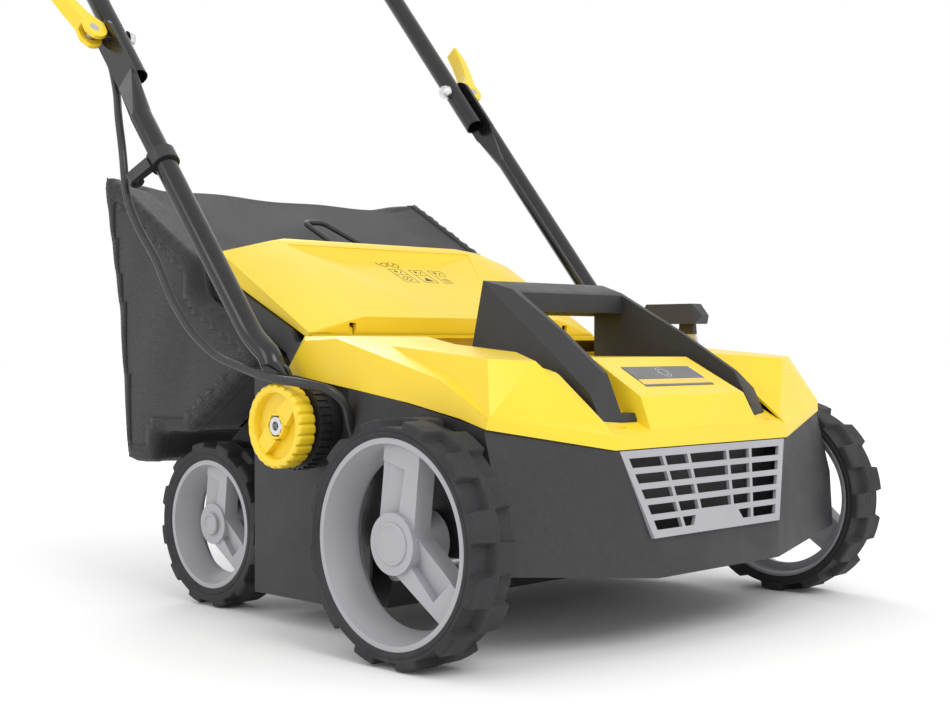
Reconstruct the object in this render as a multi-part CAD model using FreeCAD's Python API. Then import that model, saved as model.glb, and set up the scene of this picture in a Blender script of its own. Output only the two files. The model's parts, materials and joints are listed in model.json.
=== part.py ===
"""Electric lawn dethatcher with a grass bag: one STEP per piece.

Millimetres. +Z is up, the grille faces -Y, the bag and the handle are towards +Y, and X runs across.
The origin is on the ground, on the centre plane, midway between the two axles.
Left and right are those of a person who walks behind it, so right is -X.
"""
import FreeCAD, Part
import os
from itertools import combinations
from math import acos, atan2, cos, pi, radians, sin, sqrt

V = FreeCAD.Vector
X, Y, Z = V(1, 0, 0), V(0, 1, 0), V(0, 0, 1)
SIDES = {"right": -1, "left": 1}

# ---- driving dimensions --------------------------------------------------------------------------
WALL = 3.0                      # moulded wall
RUN = 0.05                      # running clearance on a radius
WHEELBASE = 343.0

FRONT_WHEEL = dict(radius=100.0, rim=84.8, inner=249.5, outer=297.0, hub=25.0, lugs=12, groove=6.5,
                   y=-WHEELBASE / 2, z=100.0, dish=27.0, cap=17.5, hub_back=5.0, spoke_back=9.0,
                   spoke_depth=18.0)
REAR_WHEEL = dict(radius=81.2, rim=63.1, inner=185.0, outer=226.0, hub=20.0, lugs=12, groove=5.0,
                  y=WHEELBASE / 2, z=81.2, dish=23.0, cap=11.0, hub_back=6.0, spoke_back=8.0, spoke_depth=15.0)
SPOKE_TURN = 3.0                # degrees that the first spoke stands past the top
TREAD_TURN = 2.5                # degrees from the lowest point to the middle of a pocket
AXLE_R = 6.0

DECK_X = 243.0                  # half width of the front of the deck
DECK_REAR_X = 234.0             # half width beside the handle pivots
CHUTE_X = 178.0                 # half width of the discharge chute
BELLY_Z = 86.0
SKIRT_Z = 26.0

ROTOR_Y, ROTOR_Z = 2.0, 80.0
TINE_R = 62.0
TUNNEL_R = 70.0
WORKING_WIDTH = 380.0
BLADES = 16
HEX = 20.0                      # rotor shaft across its flats
BEARING_R = 14.0

MOTOR_Y, MOTOR_Z, MOTOR_R = -162.0, 150.0, 44.0
BELT_X, BELT_W = -219.0, 11.0   # middle of the belt, and its width
ROTOR_PULLEY_R, MOTOR_PULLEY_R = 30.0, 12.0

CRANK_Y, CRANK_Z = -128.0, 73.0  # turning axis of the front axle
PIVOT_Y, PIVOT_Z = -5.0, 187.0   # turning axis of the handle
TUBE_R = 11.0
TUBE_WALL = 1.5
LOWER_X, UPPER_X = 264.0, 244.5
HANDLE_ANGLE = 50.7              # slope of the handle
JOINT_Y, JOINT_Z = 304.0, 577.0  # bolt between lower and upper handle
HANDLE_LENGTH = 543.0            # from that bolt to the cross bar
EYE_X, EYE_T = 260.0, 3.6        # middle and thickness of the flattened tube ends
LOWER_BEND = (48.0, 266.6)       # where the lower tube leans back
CABLE_R = 4.0

FLAP_Y, FLAP_Z = 46.0, 272.0     # hinge of the discharge flap, behind its front wall
FLAP_LUG_X = 150.0
BAG_X = 230.0

ALONG = V(0, cos(radians(HANDLE_ANGLE)), sin(radians(HANDLE_ANGLE)))
ACROSS = V(0, -ALONG.z, ALONG.y)
JOINT = V(0, JOINT_Y, JOINT_Z)
PIVOT = V(0, PIVOT_Y, PIVOT_Z)


# ---- ways of making a solid ----------------------------------------------------------------------
def wire(points):
    return Part.makePolygon(list(points) + [points[0]])


def along_x(yz, low, high):
    """A side outline of (y, z) points, pushed across from x = low to x = high."""
    return Part.Face(wire([V(low, y, z) for y, z in yz])).extrude(X * (high - low))


def along_y(xz, low, high):
    return Part.Face(wire([V(x, low, z) for x, z in xz])).extrude(Y * (high - low))


def along_z(xy, low, high):
    return Part.Face(wire([V(x, y, low) for x, y in xy])).extrude(Z * (high - low))


def disc(x0, x1, radius, y, z):
    """A cylinder that lies across the machine."""
    low, high = min(x0, x1), max(x0, x1)
    return Part.makeCylinder(radius, high - low, V(low, y, z), X)


def ring(x0, x1, radius, bore, y, z):
    return disc(x0, x1, radius, y, z).cut(disc(x0 - 1, x1 + 1, bore, y, z)) if x0 < x1 else \
        ring(x1, x0, radius, bore, y, z)


def turned(profile, y, z):
    """A closed outline of (x, radius) points, turned about the line across at y, z."""
    face = Part.Face(wire([V(x, y, z + r) for x, r in profile]))
    return face.revolve(V(0, y, z), X, 360)


def both(points):
    """The given corners with their mirror images on the other side."""
    return [V(s * x, y, z) for s in (-1, 1) for x, y, z in points]


def hull_triangles(corners):
    """The skin of a convex solid, as triples of corner numbers that run round outwards."""
    def height(face, p):
        a, b, c = (corners[i] for i in face)
        return (b - a).cross(c - a).normalize().dot(p - a)

    first = next(t for t in combinations(range(len(corners)), 4)
                 if abs((corners[t[1]] - corners[t[0]]).cross(corners[t[2]] - corners[t[0]])
                        .dot(corners[t[3]] - corners[t[0]])) > 1000)
    middle = sum((corners[i] for i in first), V(0, 0, 0)) * 0.25
    faces = [f if height(f, middle) < 0 else f[::-1] for f in combinations(first, 3)]
    for n, p in enumerate(corners):
        seen = [f for f in faces if height(f, p) > 1e-6]
        edges = {(f[i], f[(i + 1) % 3]) for f in seen for i in range(3)}
        faces = [f for f in faces if f not in seen]
        faces += [(a, b, n) for a, b in edges if (b, a) not in edges]
    return faces


def block(points):
    """The solid with flat faces that just holds all the given corners."""
    corners = [V(*p) for p in points]
    faces = [Part.Face(wire([corners[i] for i in f])) for f in hull_triangles(corners)]
    shell = Part.makeShell(faces)
    shell.sewShape()
    solid = Part.makeSolid(shell)
    if solid.Volume < 0:
        solid.reverse()
    return solid.removeSplitter()


def fused(shapes):
    first, *rest = shapes
    return first.fuse(rest).removeSplitter() if rest else first


def rounded(shape, radius, pick):
    """The shape with a radius on each edge whose middle and direction pick() accepts."""
    chosen = [e for e in shape.Edges if pick(e.CenterOfMass, e)]
    return shape.makeFillet(radius, chosen)


def run_path(points, radii):
    """A path of straight runs joined by tangent arcs, one radius per inner point."""
    edges = []
    last = points[0]
    for before, corner, after, radius in zip(points, points[1:], points[2:], radii):
        back = (before - corner).normalize()
        ahead = (after - corner).normalize()
        turn = pi - acos(max(-1, min(1, back.dot(ahead))))
        reach = radius * sin(turn / 2) / cos(turn / 2)
        start = corner + back * reach
        end = corner + ahead * reach
        middle_way = (back + ahead).normalize()
        middle = corner + middle_way * (sqrt(radius ** 2 + reach ** 2) - radius)
        edges.append(Part.LineSegment(last, start).toShape())
        edges.append(Part.Arc(start, middle, end).toShape())
        last = end
    edges.append(Part.LineSegment(last, points[-1]).toShape())
    return Part.Wire(edges)


def rod(path, radius):
    """A round bar or tube along a path."""
    start = path.Edges[0].Vertexes[0].Point
    heading = path.Edges[0].tangentAt(path.Edges[0].FirstParameter)
    section = Part.Wire(Part.makeCircle(radius, start, heading))
    return path.makePipeShell([section], True, True)


def widest_radii(points):
    """The largest arc that each inner point of a cord's route leaves room for."""
    radii = []
    for before, corner, after in zip(points, points[1:], points[2:]):
        turn = (corner - before).getAngle(after - corner)
        shorter = min((corner - before).Length, (after - corner).Length)
        radii.append(0.45 * shorter * cos(turn / 2) / sin(turn / 2))
    return radii


def cord(name, points):
    radii = widest_radii(points)
    print(name, "radii", [round(r) for r in radii])
    path = run_path(points, radii)
    solid = rod(path, CABLE_R)
    print(name, "volume share", round(solid.Volume / (pi * CABLE_R ** 2 * path.Length), 4))
    return solid


def handle_point(x, base, along, across=0.0):
    return V(x, 0, 0) + base + ALONG * along + ACROSS * across


def save(name, shape):
    solid = shape if shape.ShapeType in ("Solid", "Compound") else Part.makeSolid(shape)
    solid.exportStep("parts/" + name + ".step")


def save_group(name, shapes):
    Part.makeCompound([s for shape in shapes for s in shape.Solids]).exportStep("parts/" + name + ".step")


# ---- wheels --------------------------------------------------------------------------------------
def tread_outline(radius, groove, lugs, phase):
    """A toothed ring outline: each lug is a short arc, with a pocket of the same length before it."""
    points = []
    pitch = 2 * pi / lugs
    for i in range(lugs):
        start = i * pitch + phase
        for share, r in ((-0.23, radius - groove), (0, radius - groove), (0.23, radius - groove),
                         (0.27, radius), (0.5, radius), (0.73, radius)):
            a = start + share * pitch
            points.append((r * sin(a), -r * cos(a)))
    return points


def tyre(w, s):
    """A smooth ring with a row of pockets in each shoulder, staggered, open in the middle for the rim."""
    reach = 0.46 * (w["outer"] - w["inner"])
    phase = radians(TREAD_TURN)
    band = [(w["radius"] * sin(radians(5 * i)), -w["radius"] * cos(radians(5 * i))) for i in range(72)]
    rows = []
    for low, high, outline in (
            (w["inner"] + reach, w["outer"] - reach, band),
            (w["outer"] - reach, w["outer"], tread_outline(w["radius"], w["groove"], w["lugs"], phase)),
            (w["inner"], w["inner"] + reach, tread_outline(w["radius"], w["groove"], w["lugs"],
                                                           phase + pi / w["lugs"]))):
        rows.append(along_x([(w["y"] + a, w["z"] + b) for a, b in outline], *sorted((s * low, s * high))))
    bore = disc(s * (w["inner"] - 1), s * (w["outer"] + 1), w["rim"], w["y"], w["z"])
    return fused(rows).cut(bore)


def rim(w, s):
    """A deep dish with three pocketed spokes and a long hub."""
    face = w["outer"] - 1.5
    flange = face - w["dish"]
    barrel = [(face, w["rim"]), (w["inner"] + 3, w["rim"]), (w["inner"] + 3, w["rim"] - 3),
              (flange - 4, w["rim"] - 6), (flange - 4, w["rim"] - 13), (flange, w["rim"] - 13),
              (face, w["rim"] - 4.5)]
    shape = turned([(s * x, r) for x, r in barrel], w["y"], w["z"])
    hub = disc(s * (w["inner"] + 2), s * (w["outer"] - w["hub_back"]), w["hub"], w["y"], w["z"])
    front = w["outer"] - w["spoke_back"]
    k = w["hub"] / 25
    end = w["rim"] - 4
    spoke = along_x([(-20 * k, 12 * k), (20 * k, 12 * k), (16.6 * k, end), (-16.6 * k, end)],
                    *sorted((s * (front - w["spoke_depth"]), s * front)))
    sunk = [(front + 1, -8 * k, end - 21 * k), (front - 8 * k, -8 * k, end - 21 * k),
            (front + 1, 24 * k, end - 14 * k), (front + 1, -2 * k, 18 * k), (front - 8 * k, -2 * k, 18 * k),
            (front + 1, 24 * k, 18 * k)]
    spoke = spoke.cut(block([(s * x, y, z) for x, y, z in sunk]))
    spokes = [spoke.rotate(V(0, 0, 0), X, 120 * i + SPOKE_TURN).translated(V(0, w["y"], w["z"]))
              for i in range(3)]
    shape = fused([shape, hub] + spokes)
    return shape.cut(disc(s * (w["inner"] - 5), s * w["outer"], AXLE_R + RUN, w["y"], w["z"]))


def hub_cap(w, s):
    """A push-in cap with a shallow dish, which hides the end of the axle."""
    face = w["outer"] - w["hub_back"]
    profile = [(face, 0), (face, w["cap"]), (face + 0.8, w["cap"]), (face + 1.5, w["cap"] - 1.0),
               (face + 1.5, w["cap"] - 3.0), (face + 1.1, w["cap"] - 3.4), (face + 1.1, 0)]
    if w is REAR_WHEEL:
        profile = [(face, 0), (face, w["cap"]), (face + 3, w["cap"]), (face + 4, w["cap"] - 1.5),
                   (face + 2.2, w["cap"] * 0.6), (face + 2.2, 0)]
    return turned([(s * x, r) for x, r in profile], w["y"], w["z"])


def stub_end(w):
    return w["outer"] - w["hub_back"] - 0.4


def make_wheels():
    for place, w in (("front", FRONT_WHEEL), ("rear", REAR_WHEEL)):
        for side, s in SIDES.items():
            save(f"{place}_tyre_{side}", tyre(w, s))
            save(f"{place}_rim_{side}", rim(w, s))
            save(f"{place}_hub_cap_{side}", hub_cap(w, s))


# ---- top cover and deck --------------------------------------------------------------------------
COVER_EDGE = [(25, 232.7), (-35, 224.8), (-137.6, 210.2), (-198.4, 199.1), (-228.6, 191.2), (-266.5, 170.8)]
PLAN = [(243, 34), (243, -228.6), (127.5, -266.5), (-127.5, -266.5), (-243, -228.6), (-243, 34)]


def cover_form():
    """The cover's outside as a solid block, before it is hollowed."""
    shoulders = [(238, 4, 262), (238, -40, 264), (238, -171, 230), (241, -231, 200), (243, -228.6, 191),
                 (243, 26, 232), (232, 12, 266), (228, -36, 266), (131, -256, 192), (131, -266, 182),
                 (118, 12, 266), (118, -100, 252), (206, 34, 232)]
    body = block(both(shoulders) + both([(127.5, -266.5, 165), (243, -228.6, 165), (243, 30, 165), (206, 34, 165),
                                         (118, -200, 235)]))
    hump = [(206, -72, 258), (220, -208, 247), (182, -226, 245), (124, -150, 252), (124, -72, 259),
            (222, -161, 226), (241, -230.6, 200), (131, -256, 192), (124, -200, 215), (124, -72, 215)]
    humps = [block([(s * x, y, z) for x, y, z in hump]) for s in (-1, 1)]
    valley = block(both([(124, -150, 270), (124, -150, 244), (128, -268, 182), (128, -290, 182),
                         (124, -290, 270)]))
    deck_dip = along_x([(-191, 247), (21, 247), (23, 300), (-191, 300)], -124, 124)
    panel = block(both([(80, -266, 165), (80, -265.5, 186), (76.5, -252, 214), (70, -191, 247), (70, -100, 247),
                        (84, -100, 165)]))
    lip = block(both([(127.5, -266.5, 165), (84, -267.4, 165), (127.4, -265.5, 183), (84, -267, 185.5),
                      (120, -240, 196), (84, -230, 200), (120, -200, 165)]))
    ridge = along_x([(20, 200), (20, 268), (34, 268), (34, 200)], -205, 205)
    body = body.fuse(humps).cut([valley, deck_dip])
    body = body.fuse([panel, lip, ridge])
    below = along_x(COVER_EDGE + [(-300, 170.8), (-300, 100), (60, 100), (60, 236)], -300, 300)
    return body.common(along_z(PLAN, 100, 300)).cut(below).removeSplitter()


def make_cover():
    form = cover_form()
    inside_plan = [(240, 31), (240, -226.4), (126.6, -263.4), (-126.6, -263.4), (-240, -226.4), (-240, 31)]
    core = form.translated(V(0, 0, -WALL)).common(along_z(inside_plan, 100, 300))
    under = along_x(COVER_EDGE + [(-300, 170.8), (-300, 140), (60, 140), (60, 236)], -300, 300)
    core = core.fuse(under.common(along_z(inside_plan, 100, 300)))
    cover = form.cut(core)
    lugs = [along_x([(31.5, 259.4), (50, 259.4), (52, 266), (51, 275), (46, 278), (41, 275), (40, 266), (38, 264),
                     (31.5, 264)],
                    *sorted((s * FLAP_LUG_X, s * (FLAP_LUG_X + 7)))) for s in (-1, 1)]
    hole = disc(-210, 210, 3.0, FLAP_Y, FLAP_Z)
    cover = cover.fuse(lugs).cut(hole)
    screws, wells = [], []
    for s in (-1, 1):
        at = V(s * 108.2, -258, 180)
        wells.append(Part.makeCylinder(5.5, 30, at + V(0, 0, 8), Z))
        screws.append(Part.makeCylinder(4.2, 3, at + V(0, 0, 3), Z).fuse(
            Part.makeCylinder(1.9, 16, at + V(0, 0, -13), Z)))
    save("top_cover", cover.cut(wells + screws + [badge_block(0.8, -0.8)]))
    save_group("cover_screws", screws)
    return form


def badge_block(height, sink):
    """The name plate's outline on the sloping panel, from a depth below the panel to a height above that."""
    top, bottom = V(0, -207.3, 238.2), V(0, -237.7, 221.7)
    out = (bottom - top).normalize().cross(X)
    corners = [top + X * -49, top + X * 49, bottom + X * 50.5, bottom + X * -50.5]
    return Part.Face(wire([p + out * sink for p in corners])).extrude(out * (height + 1.0))


def make_badge():
    save("badge_plate", badge_block(0.4, -0.8))


def make_carry_handle(form):
    """A moulded arch: a ribbed grip across the top and two arms that run down to the front."""
    outer = [(87, -73, 318.6), (80, -104, 310), (90, -174, 270), (99, -229, 234), (99, -250, 194.5),
             (90, -73, 274.6), (110, -160, 244), (121.5, -233, 217), (121.5, -245, 194), (121, -245, 180),
             (99, -250, 180), (108, -73, 230), (118, -140, 220)]
    arch = block(both(outer))
    gap = block(both([(74, -109, 330), (74, -109, 200), (98, -255, 200), (98, -255, 330)]))
    under_grip = along_x([(-60, 286), (-112, 290), (-112, 200), (-60, 200)], -74, 74)
    arch = arch.cut([gap, under_grip])
    ribs = [along_x([(-75, 287), (-75, 289.5), (-106, 291.5), (-106, 289)], x - 1.5, x + 1.5)
            for x in range(-66, 67, 12)]
    arch = max(arch.cut([form, form.translated(V(0, 0, -30))]).Solids, key=lambda piece: piece.Volume)
    save("carry_handle", fused([arch] + ribs))


def deck_outer():
    front = block(both([(243, -223.6, 190), (243, -242.5, 130.4), (243, -246, 76.3), (122.4, -266.3, 170),
                        (90, -282, 62.5), (243, -62, 200), (243, -62, BELLY_Z), (243, -205, BELLY_Z),
                        (88, -262, 64), (60, -225, BELLY_Z), (243, -226, 78), (122.4, -262, 176),
                        (243, -62, 224), (118, -262, 176), (243, -226, 192)]))
    belly_cut = along_x([(-300, 30), (-286, 62.5), (-262, 62.5), (-225, BELLY_Z), (-62, BELLY_Z), (-62, 30)],
                        -300, 300)
    trim = along_x([(y, z - 0.1) for y, z in [(30, 232.7)] + COVER_EDGE] + [(-300, 170.7), (-300, 400), (30, 400)],
                   -300, 300)
    middle = along_x([(-62, 226), (-80, 222), (-80, 60), (-72, SKIRT_Z), (84, SKIRT_Z), (84, 236), (20, 232)],
                     -DECK_REAR_X, DECK_REAR_X)
    chute = along_x([(70, 44), (120, 60), (196, 62), (196, 163), (62, 259), (30, 259), (30, 44)],
                    -CHUTE_X, CHUTE_X)
    return front.cut(belly_cut).fuse([middle, chute]).cut(trim)


def make_deck(form):
    outer = deck_outer()
    bay = along_x([(-262, 92), (-84, 92), (-84, 260), (-262, 260)], -(DECK_X - WALL), DECK_X - WALL)
    front_slope = block(both([(240, -300, 60), (240, -300, 300), (240, -242, 74), (240, -220, 200),
                              (120, -262.5, 174), (88, -278, 66)]))
    bay = bay.cut(front_slope)
    tunnel = disc(-196, 196, TUNNEL_R, ROTOR_Y, ROTOR_Z).fuse(
        along_x([(ROTOR_Y - TUNNEL_R, 10), (ROTOR_Y - TUNNEL_R, ROTOR_Z), (ROTOR_Y + TUNNEL_R, ROTOR_Z),
                 (ROTOR_Y + TUNNEL_R, 10)], -196, 196))
    throat = along_x([(ROTOR_Y, ROTOR_Z + 20), (60, 50), (118, 66), (192, 68), (192, 163), (199, 160), (199, 300),
                      (45, 300), (45, 200), (ROTOR_Y, ROTOR_Z + TUNNEL_R)], -(CHUTE_X - WALL), CHUTE_X - WALL)
    over = along_x([(-80, 158), (41, 158), (41, 300), (-80, 300)], -(DECK_REAR_X - WALL), DECK_REAR_X - WALL)
    over = over.cut(disc(-240, 240, TUNNEL_R + 4, ROTOR_Y, ROTOR_Z))
    belt_bay = along_x([(-190, 20), (-190, 190), (-84, 190), (40, 130), (40, 20)],
                       -(DECK_REAR_X - WALL), -206)
    side_bay = along_x([(-76, 20), (-76, 150), (78, 150), (78, 20)], 206, DECK_REAR_X - WALL)
    intake = block(both([(118, -290, 166), (118, -250, 166), (91, -250, 98), (91, -290, 98)]))
    axle_hole = disc(-250, 250, AXLE_R + 2, REAR_WHEEL["y"], REAR_WHEEL["z"])
    seats = disc(-206.5, 206.5, BEARING_R, ROTOR_Y, ROTOR_Z)
    gate = along_x([(-90, 100), (-90, 190), (-60, 190), (-60, 100)], -231, -206)
    deck = outer.cut([bay, tunnel, throat, over, belt_bay, side_bay, intake, seats, gate])
    deck = deck.cut(grille_plate(grille_outline(0.3), 9, 5.5))
    for s in (-1, 1):
        bracket = disc(s * 166, s * 183, 17, REAR_WHEEL["y"], REAR_WHEEL["z"])
        deck = deck.fuse(bracket)
    deck = deck.cut([axle_hole.common(disc(-250, 250, AXLE_R, REAR_WHEEL["y"], REAR_WHEEL["z"])),
                     form, disc(-250, 250, 5.2, PIVOT_Y, PIVOT_Z)])
    save("deck_housing", deck.removeSplitter())


GRILLE_TOP, GRILLE_FOOT = V(0, -266.3, 169.8), V(0, -280.5, 96.1)
GRILLE_DOWN = (GRILLE_FOOT - GRILLE_TOP).normalize()
GRILLE_IN = X.cross(GRILLE_DOWN)
GRILLE_H = (GRILLE_FOOT - GRILLE_TOP).Length


def grille_half(v):
    """Half the grille's width at a distance down its face."""
    return 122.4 + (93.5 - 122.4) * v / GRILLE_H


def grille_plate(corners, depth, lift=0.0):
    """An outline of (x, down the face) points, pushed in from a height above the face."""
    face = Part.Face(wire([GRILLE_TOP + X * x + GRILLE_DOWN * v - GRILLE_IN * lift for x, v in corners]))
    return face.extrude(GRILLE_IN * depth)


def grille_outline(grow=0.0):
    top, foot = -grow, GRILLE_H + grow
    return [(-grille_half(top) - grow, top), (grille_half(top) + grow, top), (grille_half(foot) + grow, foot),
            (-grille_half(foot) - grow, foot)]


def make_grille():
    """The air grille: five columns of slots, with a short last row that leaves its middle solid."""
    body = grille_plate(grille_outline(), 3.4)
    bars = (-1.0, -0.58, -0.26, 0.26, 0.58, 1.0)
    slots = []
    pitch = 13.4
    for row in range(5):
        v0 = 6.5 + row * pitch
        v1 = v0 + 8.2
        for i, (a, b) in enumerate(zip(bars, bars[1:])):
            if row == 4 and i == 2:
                continue
            reach0, reach1 = grille_half(v0) - 8, grille_half(v1) - 8
            left, right = (2.0 if i else 0.0), (2.0 if i < 4 else 0.0)
            p = [(a * reach0 + left, v0), (b * reach0 - right, v0),
                 (b * reach1 - right, v1), (a * reach1 + left, v1)]
            if row == 4 and i == 1:
                p[1] = (p[1][0] - 6, v0)
                p[2] = (p[2][0] - 12, v1)
            if row == 4 and i == 3:
                p[0] = (p[0][0] + 6, v0)
                p[3] = (p[3][0] + 12, v1)
            slots.append(grille_plate(p, 10, 3))
    save("front_grille", body.cut(slots))


# ---- rotor, motor and belt -----------------------------------------------------------------------
def hexagon(flats, y, z):
    r = flats / sqrt(3)
    return [(y + r * cos(radians(60 * i)), z + r * sin(radians(60 * i))) for i in range(6)]


def blade(x, turn):
    """A flat knife with two hooked points on a six-sided bore."""
    points = []
    for end in (0, 180):
        for radius, angle in ((20, -62), (24, -30), (TINE_R - 3, -9), (TINE_R, 0), (TINE_R - 16, 6), (30, 22),
                              (20, 62)):
            a = radians(angle + end + turn)
            points.append((ROTOR_Y + radius * cos(a), ROTOR_Z + radius * sin(a)))
    bore = along_x(hexagon(HEX, ROTOR_Y, ROTOR_Z), x - 5, x + 5)
    return along_x(points, x - 1, x + 1).cut(bore)


def make_rotor():
    pitch = (WORKING_WIDTH - 8) / (BLADES - 1)
    places = [-WORKING_WIDTH / 2 + 4 + i * pitch for i in range(BLADES)]
    hexes = along_x(hexagon(HEX, ROTOR_Y, ROTOR_Z), -192, 192)
    shaft = fused([hexes, disc(-229, 205, 8, ROTOR_Y, ROTOR_Z)])
    save("rotor_shaft", shaft)
    save_group("rotor_blades", [blade(x, i * 55) for i, x in enumerate(places)])
    bore = along_x(hexagon(HEX, ROTOR_Y, ROTOR_Z), -195, 195)
    spacers = []
    for low in places[:-1]:
        outline = [(ROTOR_Y + 15 * cos(radians(30 * k)), ROTOR_Z + 15 * sin(radians(30 * k))) for k in range(12)]
        spacers.append(along_x(outline, low + 1, low + pitch - 1).cut(bore))
    save_group("rotor_spacers", spacers)
    bearings = [ring(s * 196, s * 206, BEARING_R, 8 + RUN, ROTOR_Y, ROTOR_Z) for s in (-1, 1)]
    save_group("rotor_bearings", bearings)
    pulley = turned([(BELT_X - 8, 8), (BELT_X - 8, 33), (BELT_X - 6.3, 33), (BELT_X - 6, ROTOR_PULLEY_R),
                     (BELT_X + 6, ROTOR_PULLEY_R), (BELT_X + 6.3, 33), (BELT_X + 8, 33), (BELT_X + 8, 8)],
                    ROTOR_Y, ROTOR_Z)
    save("rotor_pulley", pulley)


def belt_wire(offset, x):
    """The loop of a belt that lies round the two pulleys, at a height above their faces."""
    a, b = V(x, MOTOR_Y, MOTOR_Z), V(x, ROTOR_Y, ROTOR_Z)
    ra, rb = MOTOR_PULLEY_R + offset, ROTOR_PULLEY_R + offset
    way = (b - a).normalize()
    side = X.cross(way)
    lean = acos((ra - rb) / (b - a).Length)
    up = way * cos(lean) + side * sin(lean)
    down = way * cos(lean) - side * sin(lean)
    return Part.Wire([Part.LineSegment(a + up * ra, b + up * rb).toShape(),
                      Part.Arc(b + up * rb, b + way * rb, b + down * rb).toShape(),
                      Part.LineSegment(b + down * rb, a + down * ra).toShape(),
                      Part.Arc(a + down * ra, a - way * ra, a + up * ra).toShape()])


def make_drive():
    low = BELT_X - BELT_W / 2
    belt = Part.Face(belt_wire(3.0, low)).extrude(X * BELT_W).cut(
        Part.Face(belt_wire(0.35, low - 1)).extrude(X * (BELT_W + 2)))
    save("drive_belt", belt)
    bore = 5 + RUN
    can = turned([(-150, bore), (-150, MOTOR_R - 6), (-146, MOTOR_R), (96, MOTOR_R), (100, MOTOR_R - 6),
                  (100, bore), (96, bore), (96, MOTOR_R - 4), (-146, MOTOR_R - 4), (-146, bore)],
                 MOTOR_Y, MOTOR_Z)
    feet = [along_x([(MOTOR_Y - 34, 92), (MOTOR_Y + 34, 92), (MOTOR_Y + 26, 124), (MOTOR_Y - 26, 124)], x, x + 10)
            for x in (-140, 80)]
    core = ring(-110, 60, MOTOR_R - 4, 26, MOTOR_Y, MOTOR_Z)
    feet = [f.cut(disc(-200, 200, MOTOR_R - 1, MOTOR_Y, MOTOR_Z)) for f in feet]
    save("motor_housing", fused([can, core] + feet))
    shaft = fused([disc(-229, 103, 5, MOTOR_Y, MOTOR_Z), disc(-105, 55, 24, MOTOR_Y, MOTOR_Z),
                   disc(62, 84, 14, MOTOR_Y, MOTOR_Z)])
    save("motor_armature", shaft)
    pulley = turned([(BELT_X - 8, 5), (BELT_X - 8, 14.6), (BELT_X - 6.3, 14.6), (BELT_X - 6, MOTOR_PULLEY_R),
                     (BELT_X + 6, MOTOR_PULLEY_R), (BELT_X + 6.3, 14.6), (BELT_X + 8, 14.6), (BELT_X + 8, 5)],
                    MOTOR_Y, MOTOR_Z)
    save("motor_pulley", pulley)


# ---- axles and height lever ----------------------------------------------------------------------
def arm(start, end, width, low, high):
    """A flat bar with round ends from one (y, z) to another."""
    (y0, z0), (y1, z1) = start, end
    a = atan2(z1 - z0, y1 - y0)
    dy, dz = -sin(a) * width / 2, cos(a) * width / 2
    bar = along_x([(y0 + dy, z0 + dz), (y1 + dy, z1 + dz), (y1 - dy, z1 - dz), (y0 - dy, z0 - dz)], low, high)
    return bar.fuse([disc(low, high, width / 2, y0, z0), disc(low, high, width / 2, y1, z1)])


def make_axles():
    bar = disc(-248.4, 248.4, 8, CRANK_Y, CRANK_Z)
    parts = [bar]
    for s in (-1, 1):
        parts.append(arm((CRANK_Y, CRANK_Z), (FRONT_WHEEL["y"], FRONT_WHEEL["z"]), 24,
                         *sorted((s * 244.6, s * 248.4))))
        parts.append(disc(s * 244.6, s * stub_end(FRONT_WHEEL), AXLE_R, FRONT_WHEEL["y"], FRONT_WHEEL["z"]))
    strip = arm((CRANK_Y, CRANK_Z), (-62, 268), 20, 244.6, 248.4)
    save("front_axle", fused(parts + [strip]))
    tip = along_x([(-62 - 12, 252), (-62 + 12, 252), (-62 + 9, 282), (-62 - 9, 282)], 243.0, 250.0)
    knob = block([(x, y, z) for x, y, z in
                  [(226, -86, 281), (226, -14, 281), (249.6, -86, 281), (249.6, -14, 281),
                   (232, -92, 290), (244, -92, 290), (232, -6, 290), (244, -6, 290),
                   (229, -80, 303), (246, -80, 303), (229, -18, 303), (246, -18, 303)]])
    knob = knob.fuse(tip.common(along_x([(-80, 270), (-40, 270), (-40, 290), (-80, 290)], 243.0, 249.6)))
    save("height_knob", knob.cut(arm((CRANK_Y, CRANK_Z), (-62, 268), 20, 244.6, 248.4)))
    clamps = []
    for x in (-150, 150):
        saddle = along_x([(CRANK_Y - 24, BELLY_Z), (CRANK_Y - 24, BELLY_Z - 4), (CRANK_Y - 13, BELLY_Z - 4),
                          (CRANK_Y - 12, CRANK_Z - 9), (CRANK_Y - 7, CRANK_Z - 12), (CRANK_Y + 7, CRANK_Z - 12),
                          (CRANK_Y + 12, CRANK_Z - 9), (CRANK_Y + 13, BELLY_Z - 4), (CRANK_Y + 24, BELLY_Z - 4),
                          (CRANK_Y + 24, BELLY_Z)], x - 10, x + 10)
        clamps.append(saddle.cut(disc(x - 20, x + 20, 8 + RUN, CRANK_Y, CRANK_Z)))
    save_group("axle_clamps", clamps)
    save("rear_axle", disc(-stub_end(REAR_WHEEL), stub_end(REAR_WHEEL), AXLE_R, REAR_WHEEL["y"],
                           REAR_WHEEL["z"]))


# ---- handle --------------------------------------------------------------------------------------
def notched_disc(radius, depth, teeth):
    points = []
    for i in range(teeth):
        for share, r in ((0, radius), (0.45, radius), (0.5, radius - depth), (0.95, radius - depth)):
            a = 2 * pi * (i + share) / teeth
            points.append((PIVOT_Y + r * cos(a), PIVOT_Z + r * sin(a)))
    return points


def pressed(round_end, way, flat_end, half_thickness):
    """Where a round tube is pressed flat: the convex solid between its round section and a flat one."""
    side = X.cross(way)
    corners = [round_end + side * (TUBE_R * cos(a)) + X * (TUBE_R * sin(a))
               for a in (2 * pi * (k + 0.5) / 20 for k in range(20))]
    corners += [flat_end + side * w + X * t for w in (-15, 15) for t in (-half_thickness, half_thickness)]
    return block(corners)


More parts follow.
